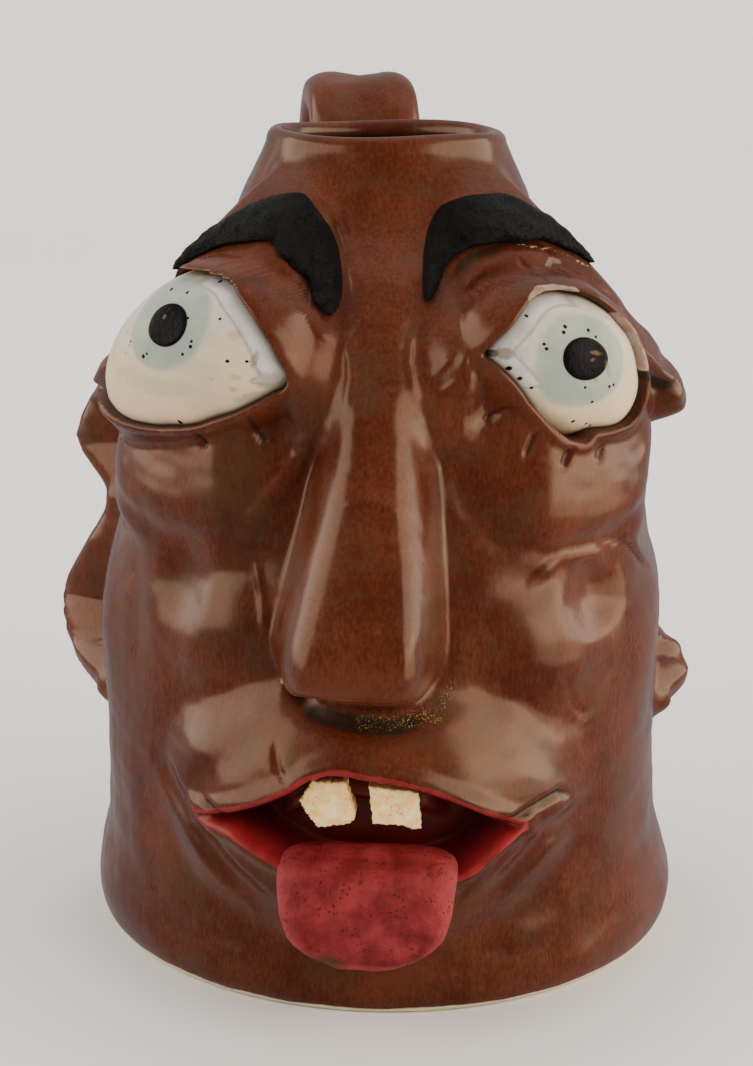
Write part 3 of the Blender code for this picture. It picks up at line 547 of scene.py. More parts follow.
def worked_clay(u, z):
    """How far the clay stands out of the plain wall, in drawn millimetres, and the masks the glaze needs."""
    front = 1 - smooth_step(np.abs(u + 3), 40, 85)
    clay = 3.4 * front * smooth_step(z, 8, 30) * (1 - smooth_step(z, 120, 175))
    clay = clay + 2.4 * spot(u, z, -33, 84, 17, 17) + 2.8 * spot(u, z, 31, 82, 16, 20)
    clay = clay + 3.4 * spot(u, z, -76, 76, 22, 30) + 1.6 * spot(u, z, 62, 76, 22, 24)
    clay = clay + 2.4 * spot(u, z, -80, 40, 60, 42)

    muzzle = np.clip(1 - ((u + 4) / 54) ** 2 - ((z - 48) / 38) ** 2, 0, 1)
    clay = add_form(clay, 16.4 * muzzle**1.2, 4.5)
    mounds = smooth_max(eye_mound(u, z, -46, 38, 42, 0.42), eye_mound(u, z, 42, 37, 42.5, 0.25), 3.0)
    clay = add_form(clay, mounds, 3.0)
    clay = add_form(clay, bridge(u, z), 4.0)
    clay = add_form(clay, ridge(u, z, LEFT_TAIL, [(0, 17), (0.5, 19), (1, 18)], 1, 9), 3.0)
    clay = add_form(clay, ridge(u, z, RIGHT_TAIL, [(0, 21), (0.4, 21), (0.75, 19), (1, 15.5)], 3, 11), 3.0)
    clay = add_form(clay, nose(u, z), 3.0 + 3.0 * smooth_step(z, 115, 150))
    clay = add_form(clay, ridge(u, z, LEFT_EAR, LEFT_EAR_HEIGHTS, 1.6, 9), 2.0)
    clay = add_form(clay, ridge(u, z, RIGHT_EAR, RIGHT_EAR_HEIGHTS, 1.6, 8), 2.0)
    clay = clay - creases(u, z)

    marks, cut = small_marks(u, z)
    clay = clay + marks
    clay, left_edge = lids(u, z, clay, LEFT_EYE, LEFT_OPENING)
    clay, right_edge = lids(u, z, clay, RIGHT_EYE, RIGHT_OPENING)

    inside = mouth_inside(u, z)
    pocket = 13.5 * smooth_step(inside, -0.3, 3.2)
    below_lip = curve_through(u, LIP_TOP) - z
    gum = 7.5 * (1 - smooth_step(np.abs(u - MOUTH_MIDDLE), 10, 17)) * (1 - smooth_step(below_lip, 5, 9))
    clay = clay + hill(inside + 1.5, 3.5) - np.maximum(pocket - gum * smooth_step(inside, 1, 3.2), 0)
    masks = {"mouth": inside, "left_edge": left_edge, "right_edge": right_edge, "cut": cut}
    return clay, {**masks, **slips(u, z)}


def outer_radius(u, z):
    """Radius in metres of the clay's outer face, with the masks."""
    clay, masks = worked_clay(u, z)
    place = on_wall(u, wall_radius(z), z)
    hand = 0.17 * unevenness(place, 0.017, 3) + 0.045 * unevenness(place, 0.006, 4)
    steady = (1 - smooth_step(masks["mouth"], -2, 1)) * (1 - smooth_step(np.maximum(
        masks["left_edge"], masks["right_edge"]), -2, 0)) * smooth_step(z, 1, 8)
    return wall_radius(z) + lean(u, z) + DRAWN * (clay + hand * steady), masks


# %% [markdown]
# ## From arrays to a mesh
# A grid of points becomes faces by index arithmetic. Each array of faces has the same number of corners, so
# whole arrays go into the mesh at once with foreach_set.

# %% Mesh from arrays
def mesh_from(name, points, face_arrays):
    """Vertices from points; faces from arrays of shape (count, corners)."""
    corners = np.concatenate([f.reshape(-1) for f in face_arrays]).astype(np.int32)
    sizes = np.concatenate([np.full(len(f), f.shape[1]) for f in face_arrays]).astype(np.int32)
    starts = np.concatenate([[0], np.cumsum(sizes)[:-1]]).astype(np.int32)
    mesh = bpy.data.meshes.new(name)
    mesh.vertices.add(len(points))
    mesh.vertices.foreach_set("co", np.ascontiguousarray(points, np.float32).reshape(-1))
    mesh.loops.add(len(corners))
    mesh.loops.foreach_set("vertex_index", corners)
    mesh.polygons.add(len(sizes))
    mesh.polygons.foreach_set("loop_start", starts)
    mesh.update(calc_edges=True)
    mesh.validate()
    mesh.shade_smooth()
    piece = bpy.data.objects.new(name, mesh)
    bpy.context.scene.collection.objects.link(piece)
    return piece


def band(first, second):
    """Quads between two closed rings of vertex numbers, the second one further along."""
    return np.stack([first, np.roll(first, -1), np.roll(second, -1), second], -1)


def tube(name, rings):
    """Rings of points joined by quads, with a flat cap at each end: a closed surface."""
    rows, count = len(rings), len(rings[0])
    index = np.arange(rows * count).reshape(rows, count)
    quads = np.concatenate([band(a, b) for a, b in zip(index[:-1], index[1:])])
    return mesh_from(name, np.concatenate(rings), [quads, index[:1, ::-1], index[-1:]])


def note(piece, name, values):
    """A number at each vertex that the finish can read."""
    layer = piece.data.attributes.new(name, "FLOAT", "POINT")
    layer.data.foreach_set("value", np.ascontiguousarray(values, np.float32).reshape(-1))


def triangles(piece):
    return sum(len(p.vertices) - 2 for p in piece.data.polygons)


# %% [markdown]
# ## The body
# The thrown wall, with its face, is the largest piece and the most finely worked. It needs a point every
# half millimetre round the eyes and lips, the back far fewer. Subdividing everywhere alike would waste most
# points. The grid is angle by height, so both are spaced as the work needs: close columns in front, wide
# ones behind, close rows across the eyes and the mouth. Inside, where only the neck is seen, every seventh
# column carries on.

# %% Grid spacing
def stretches(*parts):
    """Evenly spaced values for each (start, end, count), joined end to end."""
    return np.concatenate([np.linspace(a, b, n, endpoint=False) for a, b, n in parts])


COLUMNS = stretches((-120, -78, 33), (-78, -14, 122), (-14, 10, 34), (10, 78, 124), (78, 120, 33),
                    (120, 240, 39))
ROWS = stretches((0.5, 33, 28), (33, 62, 44), (62, 118, 48), (118, 174, 98), (174, RIM_START, 12))
SKIP = 7
FOOT_EDGE = 0.0009       # the rounding under the foot
RIM_WAVE = 0.35          # drawn mm by which the rim rises and falls
INNER_CORNER = 6.0       # drawn mm, between floor and inner wall
NECK_ROWS = 14           # inner rows, from the rim down, painted dark as the shade inside the neck
UNLIT = 6.0              # the cut mask's number there
BLANK = {"mouth": -30.0, "left_edge": -30.0, "right_edge": -30.0, "cut": 0.0, "chip": 0.0, "crumb": 0.0,
         "smear": 0.0}    # far from every mark
print(len(COLUMNS), "columns (a multiple of", SKIP, "),", len(ROWS), "rows")


# %% [markdown]
# ## One closed skin
# The grid's rows run up the outside, round the rim and down the inside to the floor, so that the wall has
# its thickness without any modifier. The masks ride along as numbers on the vertices, for the glaze to
# read.

# %% The closed vessel
def vessel():
    """Underside, worked outer face, half-round rim, inner wall and floor, as one closed grid."""
    u, z = np.meshgrid(COLUMNS, np.append(ROWS, RIM_START))
    signed = (u + 180) % 360 - 180
    radius, masks = outer_radius(signed, z)
    around = signed[0]
    foot = on_wall(around, radius[0] - FOOT_EDGE, 0 * around)
    outer = on_wall(signed, radius, z)
    top = radius[-1]
    inner_top = MOUTH_RADIUS + lean(around, RIM_START)
    round_rim = RIM_HEIGHT - RIM_START + RIM_WAVE * np.sin(np.radians(3 * around))
    rim = []
    for t in np.radians(np.arange(20, 181, 20)):
        across_rim = (top + inner_top) / 2 + (top - inner_top) / 2 * math.cos(t)
        rim.append(on_wall(around, across_rim, RIM_START + round_rim * math.sin(t)))
    fine = [foot, *outer, *rim]
    few = around[::SKIP]
    coarse = []
    floor_top = FLOOR / DRAWN
    corner_top = floor_top + INNER_CORNER
    thinner = MOUTH_RADIUS - NECK_RADIUS + WALL
    for height in np.linspace(RIM_START - 3, corner_top, 30):
        plain = wall_radius(height) - WALL + thinner * smooth_step(height, 168, RIM_START)
        coarse.append(on_wall(few, plain + lean(few, height), height + 0 * few))
    side = wall_radius(corner_top) - WALL
    for t in np.radians([30, 60, 90]):
        r = side - INNER_CORNER * DRAWN * (1 - math.cos(t)) + 0 * few
        coarse.append(on_wall(few, r, floor_top + INNER_CORNER * (1 - math.sin(t)) + 0 * few))

    count, less = len(around), len(few)
    index = np.arange(len(fine) * count).reshape(len(fine), count)
    deep = len(fine) * count + np.arange(len(coarse) * less).reshape(len(coarse), less)
    outside = np.concatenate([band(a, b) for a, b in zip(index[:-1], index[1:])])
    within = np.concatenate([band(a, b) for a, b in zip(deep[:-1], deep[1:])])
    last = np.append(index[-1], index[-1, 0])
    step = np.arange(less)[:, None] * SKIP + np.arange(SKIP + 1)
    join = np.concatenate([last[step], np.roll(deep[0], -1)[:, None], deep[0][:, None]], 1)
    points = np.concatenate([*fine, *coarse])
    piece = mesh_from("body", points, [outside, within, join, index[:1, ::-1], deep[-1:]])

    for name, values in masks.items():
        grid = np.full(len(points), BLANK[name])
        grid[count:count + values.size] = values.reshape(-1)
        if name == "cut":
            grid[deep[:NECK_ROWS].reshape(-1)] = UNLIT
        note(piece, name, grid)
    return piece


body = vessel()
print("body", triangles(body), "triangles")

# %% [markdown]
# ## The strap handle
# The handle is a pulled strap: it leaves the neck just under the rim, bends over a finger gap and comes
# down on the shoulder. A curve with a bevel would make one, but an oblong section carried along a path can
# also be dented by a thumb. A power of cosine and sine makes the section squarer than an ellipse, and a
# Boolean union joins strap and wall as slip does.

# %% Handle
STRAP_WIDTH = 0.0280
STRAP_THICKNESS = 0.0115
STRAP_REACH = 81.0
STRAP_TURN = 8.0


def section(width, thickness, points, squareness):
    """Superellipse: cos and sin raised to 2 / squareness, with their signs kept."""
    turn = np.linspace(0, 2 * math.pi, points, endpoint=False)
    power = 2 / squareness
    return (np.sign(np.cos(turn)) * np.abs(np.cos(turn)) ** power * width / 2,
            np.sign(np.sin(turn)) * np.abs(np.sin(turn)) ** power * thickness / 2)


def shares(path):
    """Each point's share of the path's length."""
    along = np.concatenate([[0], np.cumsum(np.hypot(*np.diff(path, axis=0).T))])
    return along / along[-1]


def handle(rows=90, around=44):
    """Section offsets laid square to the path in the plane that stands STRAP_TURN degrees from the back."""
    seat, low_seat = (wall_radius(171) - 0.5 * WALL) / DRAWN, (wall_radius(112) - 0.5 * WALL) / DRAWN
    path = np.array([
        (seat, 171), (seat + 5.5, 173.4), (seat + 11.5, 178.5), (seat + 16.5, 186.5), (seat + 23.5, 192.6),
        (seat + 31.5, 194), (STRAP_REACH - 7, 188.5), (STRAP_REACH - 1.5, 178), (STRAP_REACH, 164),
        (STRAP_REACH - 1.5, 150), (STRAP_REACH - 6.5, 135), (STRAP_REACH - 12.5, 122.5),
        (low_seat + 5, 114.5), (low_seat, 112),
    ])
    fine = np.linspace(0, 1, rows)
    back, rise = (curve_through(fine, list(zip(shares(path), path[:, k]))) * DRAWN for k in (0, 1))
    along = np.stack([np.gradient(back), np.gradient(rise)], -1)
    along /= np.hypot(*along.T)[:, None]
    turn = math.radians(180 + STRAP_TURN)
    outward = np.array([math.sin(turn), -math.cos(turn), 0.0])
    sideways = np.array([math.cos(turn), math.sin(turn), 0.0])
    up = np.array([0.0, 0.0, 1.0])
    side, out = section(STRAP_WIDTH, STRAP_THICKNESS, around, 3.2)
    dip = 0.0011 * hill(fine - 0.33, 0.2)[:, None] * hill(side, 0.011) * (out > 0)
    out = out[None, :] - dip
    across = outward * -along[:, 1:] + up * along[:, :1]
    rings = (back[:, None] * outward + rise[:, None] * up)[:, None, :]
    rings = rings + side[None, :, None] * sideways + out[..., None] * across[:, None, :]
    flat = rings.reshape(-1, 3)
    flat = flat + 0.00022 * unevenness(flat, 0.012, 8)[:, None] * np.repeat(across, around, 0)
    return tube("strap", list(flat.reshape(rings.shape)))


strap = handle()
for name, value in BLANK.items():
    note(strap, name, np.full(len(strap.data.vertices), value))
join = body.modifiers.new("Strap", "BOOLEAN")
join.operation = "UNION"
join.solver = "MANIFOLD"
join.object = strap
view = bpy.context.evaluated_depsgraph_get()
joined = bpy.data.meshes.new_from_object(body.evaluated_get(view))
body.modifiers.clear()
body.data = joined
body.data.shade_smooth()
bpy.data.objects.remove(strap)
print("body with its handle", triangles(body), "triangles")

# %% [markdown]
# ## The eyeballs
# Each eye is an egg of white clay with a thick dab of black for its pupil. A scaled sphere would be too
# regular: these are fuller towards the nose and lean. Two angles on the egg's own axes give every point,
# and the dab is a little rise. The distances from the pupil and from the lids, and each point's across and
# up, are kept for the glaze.

# %% Eyeballs
def eyeball(name, eye, opening, pupil, pupil_size, around=160, rings=110):
    """Centre + half sizes times (sin cos, sin sin, cos), lifted by the pupil and a little unevenness."""
    turn = np.linspace(0, 2 * math.pi, around, endpoint=False)[None, :]
    tilt = np.linspace(0, math.pi, rings + 2)[1:-1][:, None]
    depth = np.where(tilt < math.pi / 2, eye.half[2], eye.back)
    local = np.stack([eye.widths(np.cos(turn)) * np.sin(tilt) * np.cos(turn),
                      eye.half[1] * np.sin(tilt) * np.sin(turn), depth * np.cos(tilt) + 0 * turn], -1)
    points = eye.placed(local)
    across, rise = eye.seen(points)
    angle = math.radians(pupil[2])
    x, y = across - pupil[0], rise - pupil[1]
    x, y = x * math.cos(angle) + y * math.sin(angle), y * math.cos(angle) - x * math.sin(angle)
    blob = np.hypot(x / pupil_size[0], y / pupil_size[1])
    front = np.cos(tilt) > 0
    edge = inside_outline(across.ravel(), rise.ravel(), rounded_outline(opening)).reshape(across.shape)
    inner_side = smooth_step(-across * np.sign(eye.angle), 4, 8)
    second = (1 - smooth_step(edge, 2.6, 3.1)) * inner_side * (rise > -3) * front
    lift = 0.00035 * (1 - smooth_step(blob, 0.86, 1.04)) * front + 0.00012 * unevenness(points, 0.009, 5)
    lift = lift + 0.0002 * second
    outward = local / np.linalg.norm(local, axis=-1, keepdims=True) @ eye.axes
    points = points + lift[..., None] * outward
    piece = tube(name, list(points))
    note(piece, "pupil", np.where(front, blob, 9.0))
    note(piece, "edge", edge)
    note(piece, "second", second)
    note(piece, "across", across)
    note(piece, "rise", rise)
    return piece


left_ball = eyeball("left_eyeball", LEFT_EYE, LEFT_OPENING, (4.3, 7.0, -24), (4.75, 4.5))
right_ball = eyeball("right_eyeball", RIGHT_EYE, RIGHT_OPENING, (-7.0, 2.25, -16), (5.3, 4.55))
print("eyeballs", triangles(left_ball), "+", triangles(right_ball), "triangles")

# %% [markdown]
# ## The brows
# Each brow is a roll of rough black clay pressed onto the slope. A bevelled curve would float off the bumps
# of the forehead. Here a half-round section, whose width swells and tapers along a line on the wall, stands
# on the very surface under it, and its underside is sunk so that no light shows beneath.

# %% Brows
LEFT_BROW = [(-54.5, 161.5), (-51, 167.5), (-44, 171.8), (-33, 173.6), (-24, 168.4), (-17.2, 161.8),
             (-13.2, 155.2)]
RIGHT_BROW = [(8.2, 157.5), (13, 166.6), (20, 171.8), (30, 173.6), (40, 173.6), (50.2, 169.9),
              (55.8, 163.6)]
LEFT_BROW_WIDTHS = [(0, 2.0), (0.15, 3.8), (0.4, 4.7), (0.7, 4.4), (0.88, 3.8), (1, 2.4)]
RIGHT_BROW_WIDTHS = [(0, 2.0), (0.15, 4.0), (0.4, 4.7), (0.7, 4.3), (0.88, 3.2), (1, 1.8)]
BROW_THICKNESS = 0.0036
BROW_SINK = 0.0016


def brow(name, line, widths, seed, rows=150, around=56):
    """Points either side of a line on the wall, raised by sin of the angle round the section."""
    pts = np.array(line, float) * (DEGREE, 1.0)
    fine = np.linspace(0, 1, rows)
    a, z = (curve_through(fine, list(zip(shares(pts), pts[:, k]))) for k in (0, 1))
    along = np.stack([np.gradient(a), np.gradient(z)], -1)
    along /= np.hypot(*along.T)[:, None]
    inner_end = fine if line[0][0] < 0 else 1 - fine
    end = np.sqrt(np.clip(1 - (2 * np.abs(fine - 0.5)) ** 14, 0.02, 1))
    half = (curve_through(inner_end, widths) * end)[:, None]
    turn = np.linspace(0, 2 * math.pi, around, endpoint=False)[None, :]
    off = half * np.cos(turn)
    u = (a[:, None] - along[:, 1:] * off) / DEGREE
    height = z[:, None] + along[:, :1] * off
    ground, _ = outer_radius(u, height)
    thick = BROW_THICKNESS * (0.45 + 0.55 * half / 5.6)
    swell = np.abs(np.sin(turn))
    lift = np.where(np.sin(turn) > 0, thick * swell**0.8, -BROW_SINK * np.sqrt(swell))
    place = on_wall(u, ground, height)
    rough = 0.00030 * unevenness(place, 0.0050, seed) + 0.00012 * unevenness(place, 0.0017, seed + 1)
    points = on_wall(u, ground + lift + rough * np.clip(np.sin(turn) * 3, 0, 1), height)
    return tube(name, list(points))


left_brow = brow("left_brow", LEFT_BROW, LEFT_BROW_WIDTHS, 21)
right_brow = brow("right_brow", RIGHT_BROW, RIGHT_BROW_WIDTHS, 31)
print("brows", triangles(left_brow), "+", triangles(right_brow), "triangles")

# %% [markdown]
# ## The tongue
# A thick slab of red clay comes out of the mouth, bends over the lower lip and ends in a blunt round tip. A
# subdivided box could be pushed into that shape; the handle's recipe gives it with fewer choices: sections
# along a path, bent round the jug, with the middle hollowed by a hill taken off the top.

# %% Tongue
TONGUE_PATH = [(2.5, 37), (8, 38.7), (13.2, 38), (17.3, 34.6), (19.4, 29.4), (19.7, 24.4), (18.9, 19.8)]
TONGUE_HALF_WIDTHS = [(0, 15), (0.3, 19.8), (0.6, 18.9), (0.8, 17.2), (0.92, 13), (1, 8)]
TONGUE_ANGLE = -3.1
TONGUE_THICKNESS = 0.0085


def tongue(name, rows=110, around=120):
    """Superellipse sections square to a path in the plane through the axis, width taken round the jug."""
    path = np.array(TONGUE_PATH)
    fine = np.linspace(0, 1, rows)
    out = curve_through(fine, list(zip(shares(path), path[:, 0]))) * DRAWN + wall_radius(45)
    rise = curve_through(fine, list(zip(shares(path), path[:, 1]))) * DRAWN
    along = np.stack([np.gradient(out), np.gradient(rise)], -1)
    along /= np.hypot(*along.T)[:, None]
    half = (curve_through(fine, TONGUE_HALF_WIDTHS) * DRAWN)[:, None]
    thick = (TONGUE_THICKNESS * curve_through(fine, [(0, 0.75), (0.4, 1), (0.85, 0.95), (1, 0.62)]))[:, None]
    side, over = section(2.0, 1.0, around, 2.6)
    side, over = side[None, :] * half, over[None, :] * thick
    ahead = fine[:, None]
    dip = 1.9 * DRAWN * hill(side / half, 0.85) * (over > 0) * smooth_step(ahead, 0.15, 0.4)
    over = over - dip * (1 - smooth_step(ahead, 0.75, 1))
    r = out[:, None] - over * along[:, 1:]
    z = (rise[:, None] + over * along[:, :1]) / DRAWN
    u = TONGUE_ANGLE + np.degrees(side / out[:, None])
    place = on_wall(u, r, z)
    r = r + 0.00016 * unevenness(place, 0.007, 41) + 0.00005 * unevenness(place, 0.0016, 42)
    piece = tube(name, list(on_wall(u, r, z)))
    note(piece, "rim", np.maximum(np.abs(side / half), smooth_step(ahead, 0.8, 1) + 0 * side))
    return piece


tongue_piece = tongue("tongue_slab")
print("tongue", triangles(tongue_piece), "triangles")

# %% [markdown]
# ## The teeth
# Two flat chips of ivory clay, cut with a knife and set in the gum. A rounded box would look cast. The
# outline is drawn corner by corner instead, so it stays sharp and chipped; the face is a fan of rings from
# the middle to the edge, and the last rings turn over it.

# %% Teeth
LEFT_TOOTH = [(-14.3, 53.4), (-12.2, 58.2), (-6.6, 58.4), (-5.2, 50.2), (-6.3, 48.9), (-11.2, 47.6),
              (-13.1, 50.6)]
RIGHT_TOOTH = [(-3.0, 57.8), (5.0, 56.4), (5.6, 48.2), (4.2, 47.9), (2.4, 48.9), (-2.3, 49.2)]
TOOTH_FRONT = 12.3
TOOTH_THICKNESS = 0.0060


def tooth(name, outline, seed, each=16):
    """Rings of the outline: full size behind, easing in over the edge, shrinking to the face's middle."""
    pts = np.array(outline, float) * (DEGREE, 1.0)
    t = np.linspace(0, 1, each, endpoint=False)[:, None]
    edge = np.concatenate([a + (b - a) * t for a, b in zip(pts, np.roll(pts, -1, 0))])
    middle = pts.mean(axis=0)
    size = np.hypot(*(edge - middle).T)[:, None]
    place = np.arange(len(edge))
    ragged = 0.12 * np.sin(1.9 * place + seed) + 0.1 * np.sin(0.83 * place + 2 * seed)
    front = wall_radius(53) + TOOTH_FRONT * DRAWN
    rings = []
    for out, ease in ((-6.0, 0), (-2.5, 0), (-0.5, 0), (-0.2, 0.06), (-0.05, 0.2), (0, 0.45), (0.02, 1.0)):
        spread = middle + (edge - middle) * (size + ragged[:, None] - ease) / size
        rings.append((spread, out))
    for share in (0.7, 0.5, 0.3, 0.12):
        rings.append((middle + (edge - middle) * share, 0.05))
    if (edge[1] - edge[0])[0] * (pts[1] - middle)[1] > 0:
        rings = [(spread[::-1], out) for spread, out in rings]
    loops = []
    for spread, out in rings:
        u = spread[:, 0] / DEGREE * wall_radius(53) / front * 1.16
        bump = 0.0001 * unevenness(on_wall(u, front + 0 * u, spread[:, 1]), 0.004, seed)
        loops.append(on_wall(u, front + out * DRAWN + bump * (out > -0.1), spread[:, 1]))
    piece = tube(name, loops)
    piece.data.set_sharp_from_angle(angle=math.radians(40))
    return piece


left_tooth = tooth("left_tooth", LEFT_TOOTH, 1)
right_tooth = tooth("right_tooth", RIGHT_TOOTH, 2)
print("teeth", triangles(left_tooth), "+", triangles(right_tooth), "triangles")

# %% [markdown]
# ## Writing finishes as sums
# A finish is a small calculation done at every point of the surface. Wrapping a node's output in a class
# that knows + - * / lets that calculation be written as an ordinary expression, and each sign adds its Math
# node.

# %% Sockets that do arithmetic
class Value:
    """A number that varies over the surface."""

    def __init__(self, finish, socket):
        self.finish, self.socket = finish, socket

    def maths(self, operation, *others, clamp=False):
        return self.finish.node("ShaderNodeMath", {"operation": operation, "use_clamp": clamp},
                                {i: v for i, v in enumerate((self, *others))})

    def __add__(self, other):
        return self.maths("ADD", other)

    def __sub__(self, other):
        return self.maths("SUBTRACT", other)

    def __mul__(self, other):
        return self.maths("MULTIPLY", other)

    def __truediv__(self, other):
        return self.maths("DIVIDE", other)

    def __rsub__(self, other):
        return self.finish.number(other).maths("SUBTRACT", self)

    def __rtruediv__(self, other):
        return self.finish.number(other).maths("DIVIDE", self)

    __radd__, __rmul__ = __add__, __mul__

    def most(self, other):
        return self.maths("MAXIMUM", other)

    def step(self, low, high):
        """0 at low, 1 at high, smoothly between; low may be the larger."""
        if low > high:
            return 1 - self.step(high, low)
        return self.finish.node("ShaderNodeMapRange", {"interpolation_type": "SMOOTHSTEP"},
                                {"Value": self, "From Min": low, "From Max": high})


class Finish:
    """A material and the means to add nodes to it."""

    def __init__(self, name):
        self.material = bpy.data.materials.new(name)
        self.material.use_nodes = True
        self.tree = self.material.node_tree
        self.shader = self.tree.nodes["Principled BSDF"]
        self.place = self.node("ShaderNodeTexCoord", {}, {}, "Object")

    def node(self, kind, settings, inputs, output=0):
        """Adds a node: its settings first, then values or links, and returns one output."""
        made = self.tree.nodes.new(kind)
        for key, value in settings.items():
            setattr(made, key, value)
        for key, value in inputs.items():
            if isinstance(value, Value):
                self.tree.links.new(value.socket, made.inputs[key])
            else:
                made.inputs[key].default_value = value
        return Value(self, made.outputs[output])

    def number(self, value):
        """The same number everywhere."""
        return self.node("ShaderNodeMath", {"operation": "ADD"}, {0: value, 1: 0.0})

    def noted(self, name):
        """The number that the mesh carries under this name."""
        return self.node("ShaderNodeAttribute", {"attribute_name": name}, {}, "Fac")

    def stretched(self, scale):
        """Object coordinates times a scale along each axis."""
        return self.node("ShaderNodeMapping", {}, {"Vector": self.place, "Scale": scale})

    def clouds(self, scale, detail=3.0, roughness=0.5, place=None):
        """Soft noise from 0 to 1."""
        return self.node("ShaderNodeTexNoise", {}, {
            "Vector": place or self.place, "Scale": scale, "Detail": detail, "Roughness": roughness})

    def grains(self, scale):
        """Distance to scattered points, 0 at each."""
        return self.node("ShaderNodeTexVoronoi", {}, {"Vector": self.place, "Scale": scale}, "Distance")

    def mix(self, share, a, b):
        """Colour a where share is 0, b where it is 1."""
        made = self.tree.nodes.new("ShaderNodeMix")
        made.data_type = "RGBA"
        colour_a, colour_b = [s for s in made.inputs if s.type == "RGBA"]
        self.tree.links.new(share.socket, made.inputs["Factor"])
        for socket, colour in ((colour_a, a), (colour_b, b)):
            if isinstance(colour, Value):
                self.tree.links.new(colour.socket, socket)
            else:
                socket.default_value = (*colour, 1.0)
        return Value(self, [s for s in made.outputs if s.type == "RGBA"][0])

    def away(self, point):
        """Distance in metres from a place on the object."""
        ends = {0: self.place, 1: point}
        return self.node("ShaderNodeVectorMath", {"operation": "DISTANCE"}, ends, "Value")

    def oval(self, x, y, place, size, turn=0.0):
        """Distance from a place, in shares of an oval's two half sizes, the oval turned by some degrees."""
        c, s = math.cos(math.radians(turn)), math.sin(math.radians(turn))
        dx, dy = x - place[0], y - place[1]
        a, b = (dx * c + dy * s) / size[0], (dy * c - dx * s) / size[1]
        return (a * a + b * b).maths("SQRT")

    def done(self, colour, roughness, height=None, depth=0.0002, gloss=0.5, tint=(1, 1, 1)):
        """Feeds the shader: colour, roughness, a bump of a depth in metres, and how its gloss is tinted."""
        self.tree.links.new(colour.socket, self.shader.inputs["Base Color"])
        self.tree.links.new(roughness.socket, self.shader.inputs["Roughness"])
        self.shader.inputs["Specular IOR Level"].default_value = gloss
        self.shader.inputs["Specular Tint"].default_value = (*tint, 1.0)
        if height is not None:
            bump = self.node("ShaderNodeBump", {}, {"Height": height, "Distance": depth, "Strength": 1.0})
            self.tree.links.new(bump.socket, self.shader.inputs["Normal"])
        return self.material


# %% [markdown]
# ## The brown glaze
# One coat of iron-red glaze, brushed on: thin and tan where the brush dragged, dark where it pooled in cuts
# and round the eyes, with olive clouds in it. The cuts, the nostril, the groove under the nose and the gaps
# round the eyes are darkened further with painted shade, and the inside of the neck is painted near black as
# its shade. Below the last millimetre and a half the clay is bare and cream, and the potter painted the mouth
# red, with painted shade deeper in the mouth. A painted image could hold all that, but noise in object
# coordinates has no seam and no pixels, and the distances noted on the mesh say where each coat stops.

# %% Brown glaze
DEEP_GLAZE, THIN_GLAZE = (0.054, 0.0098, 0.0036), (0.106, 0.0275, 0.0125)
OLIVE_GLAZE, SPECK = (0.060, 0.031, 0.0150), (0.02, 0.008, 0.006)
# Glaze pooled dark in cuts and gaps, deepened with painted shade; and the painted shade inside the neck.
GRIME_AND_SHADE, NECK_SHADE = (0.012, 0.005, 0.003), (0.0035, 0.0022, 0.0018)
PALE_SLIP, PALER_SLIP, BARE_CHIP = (0.33, 0.19, 0.12), (0.42, 0.33, 0.26), (0.36, 0.25, 0.12)
DARK_CRUMB, YELLOW_CRUMB = (0.045, 0.030, 0.006), (0.26, 0.19, 0.030)
DEEP_RED, BRIGHT_RED, MOUTH_SHADE = (0.165, 0.0060, 0.0095), (0.255, 0.0150, 0.0210), (0.066, 0.0030, 0.0042)
CREAM, PALE_CREAM = (0.60, 0.50, 0.33), (0.78, 0.70, 0.52)
BARE_HEIGHT = 0.0016     # where the glaze stops above the foot
GLAZE_TINT = (1.0, 0.80, 0.62)


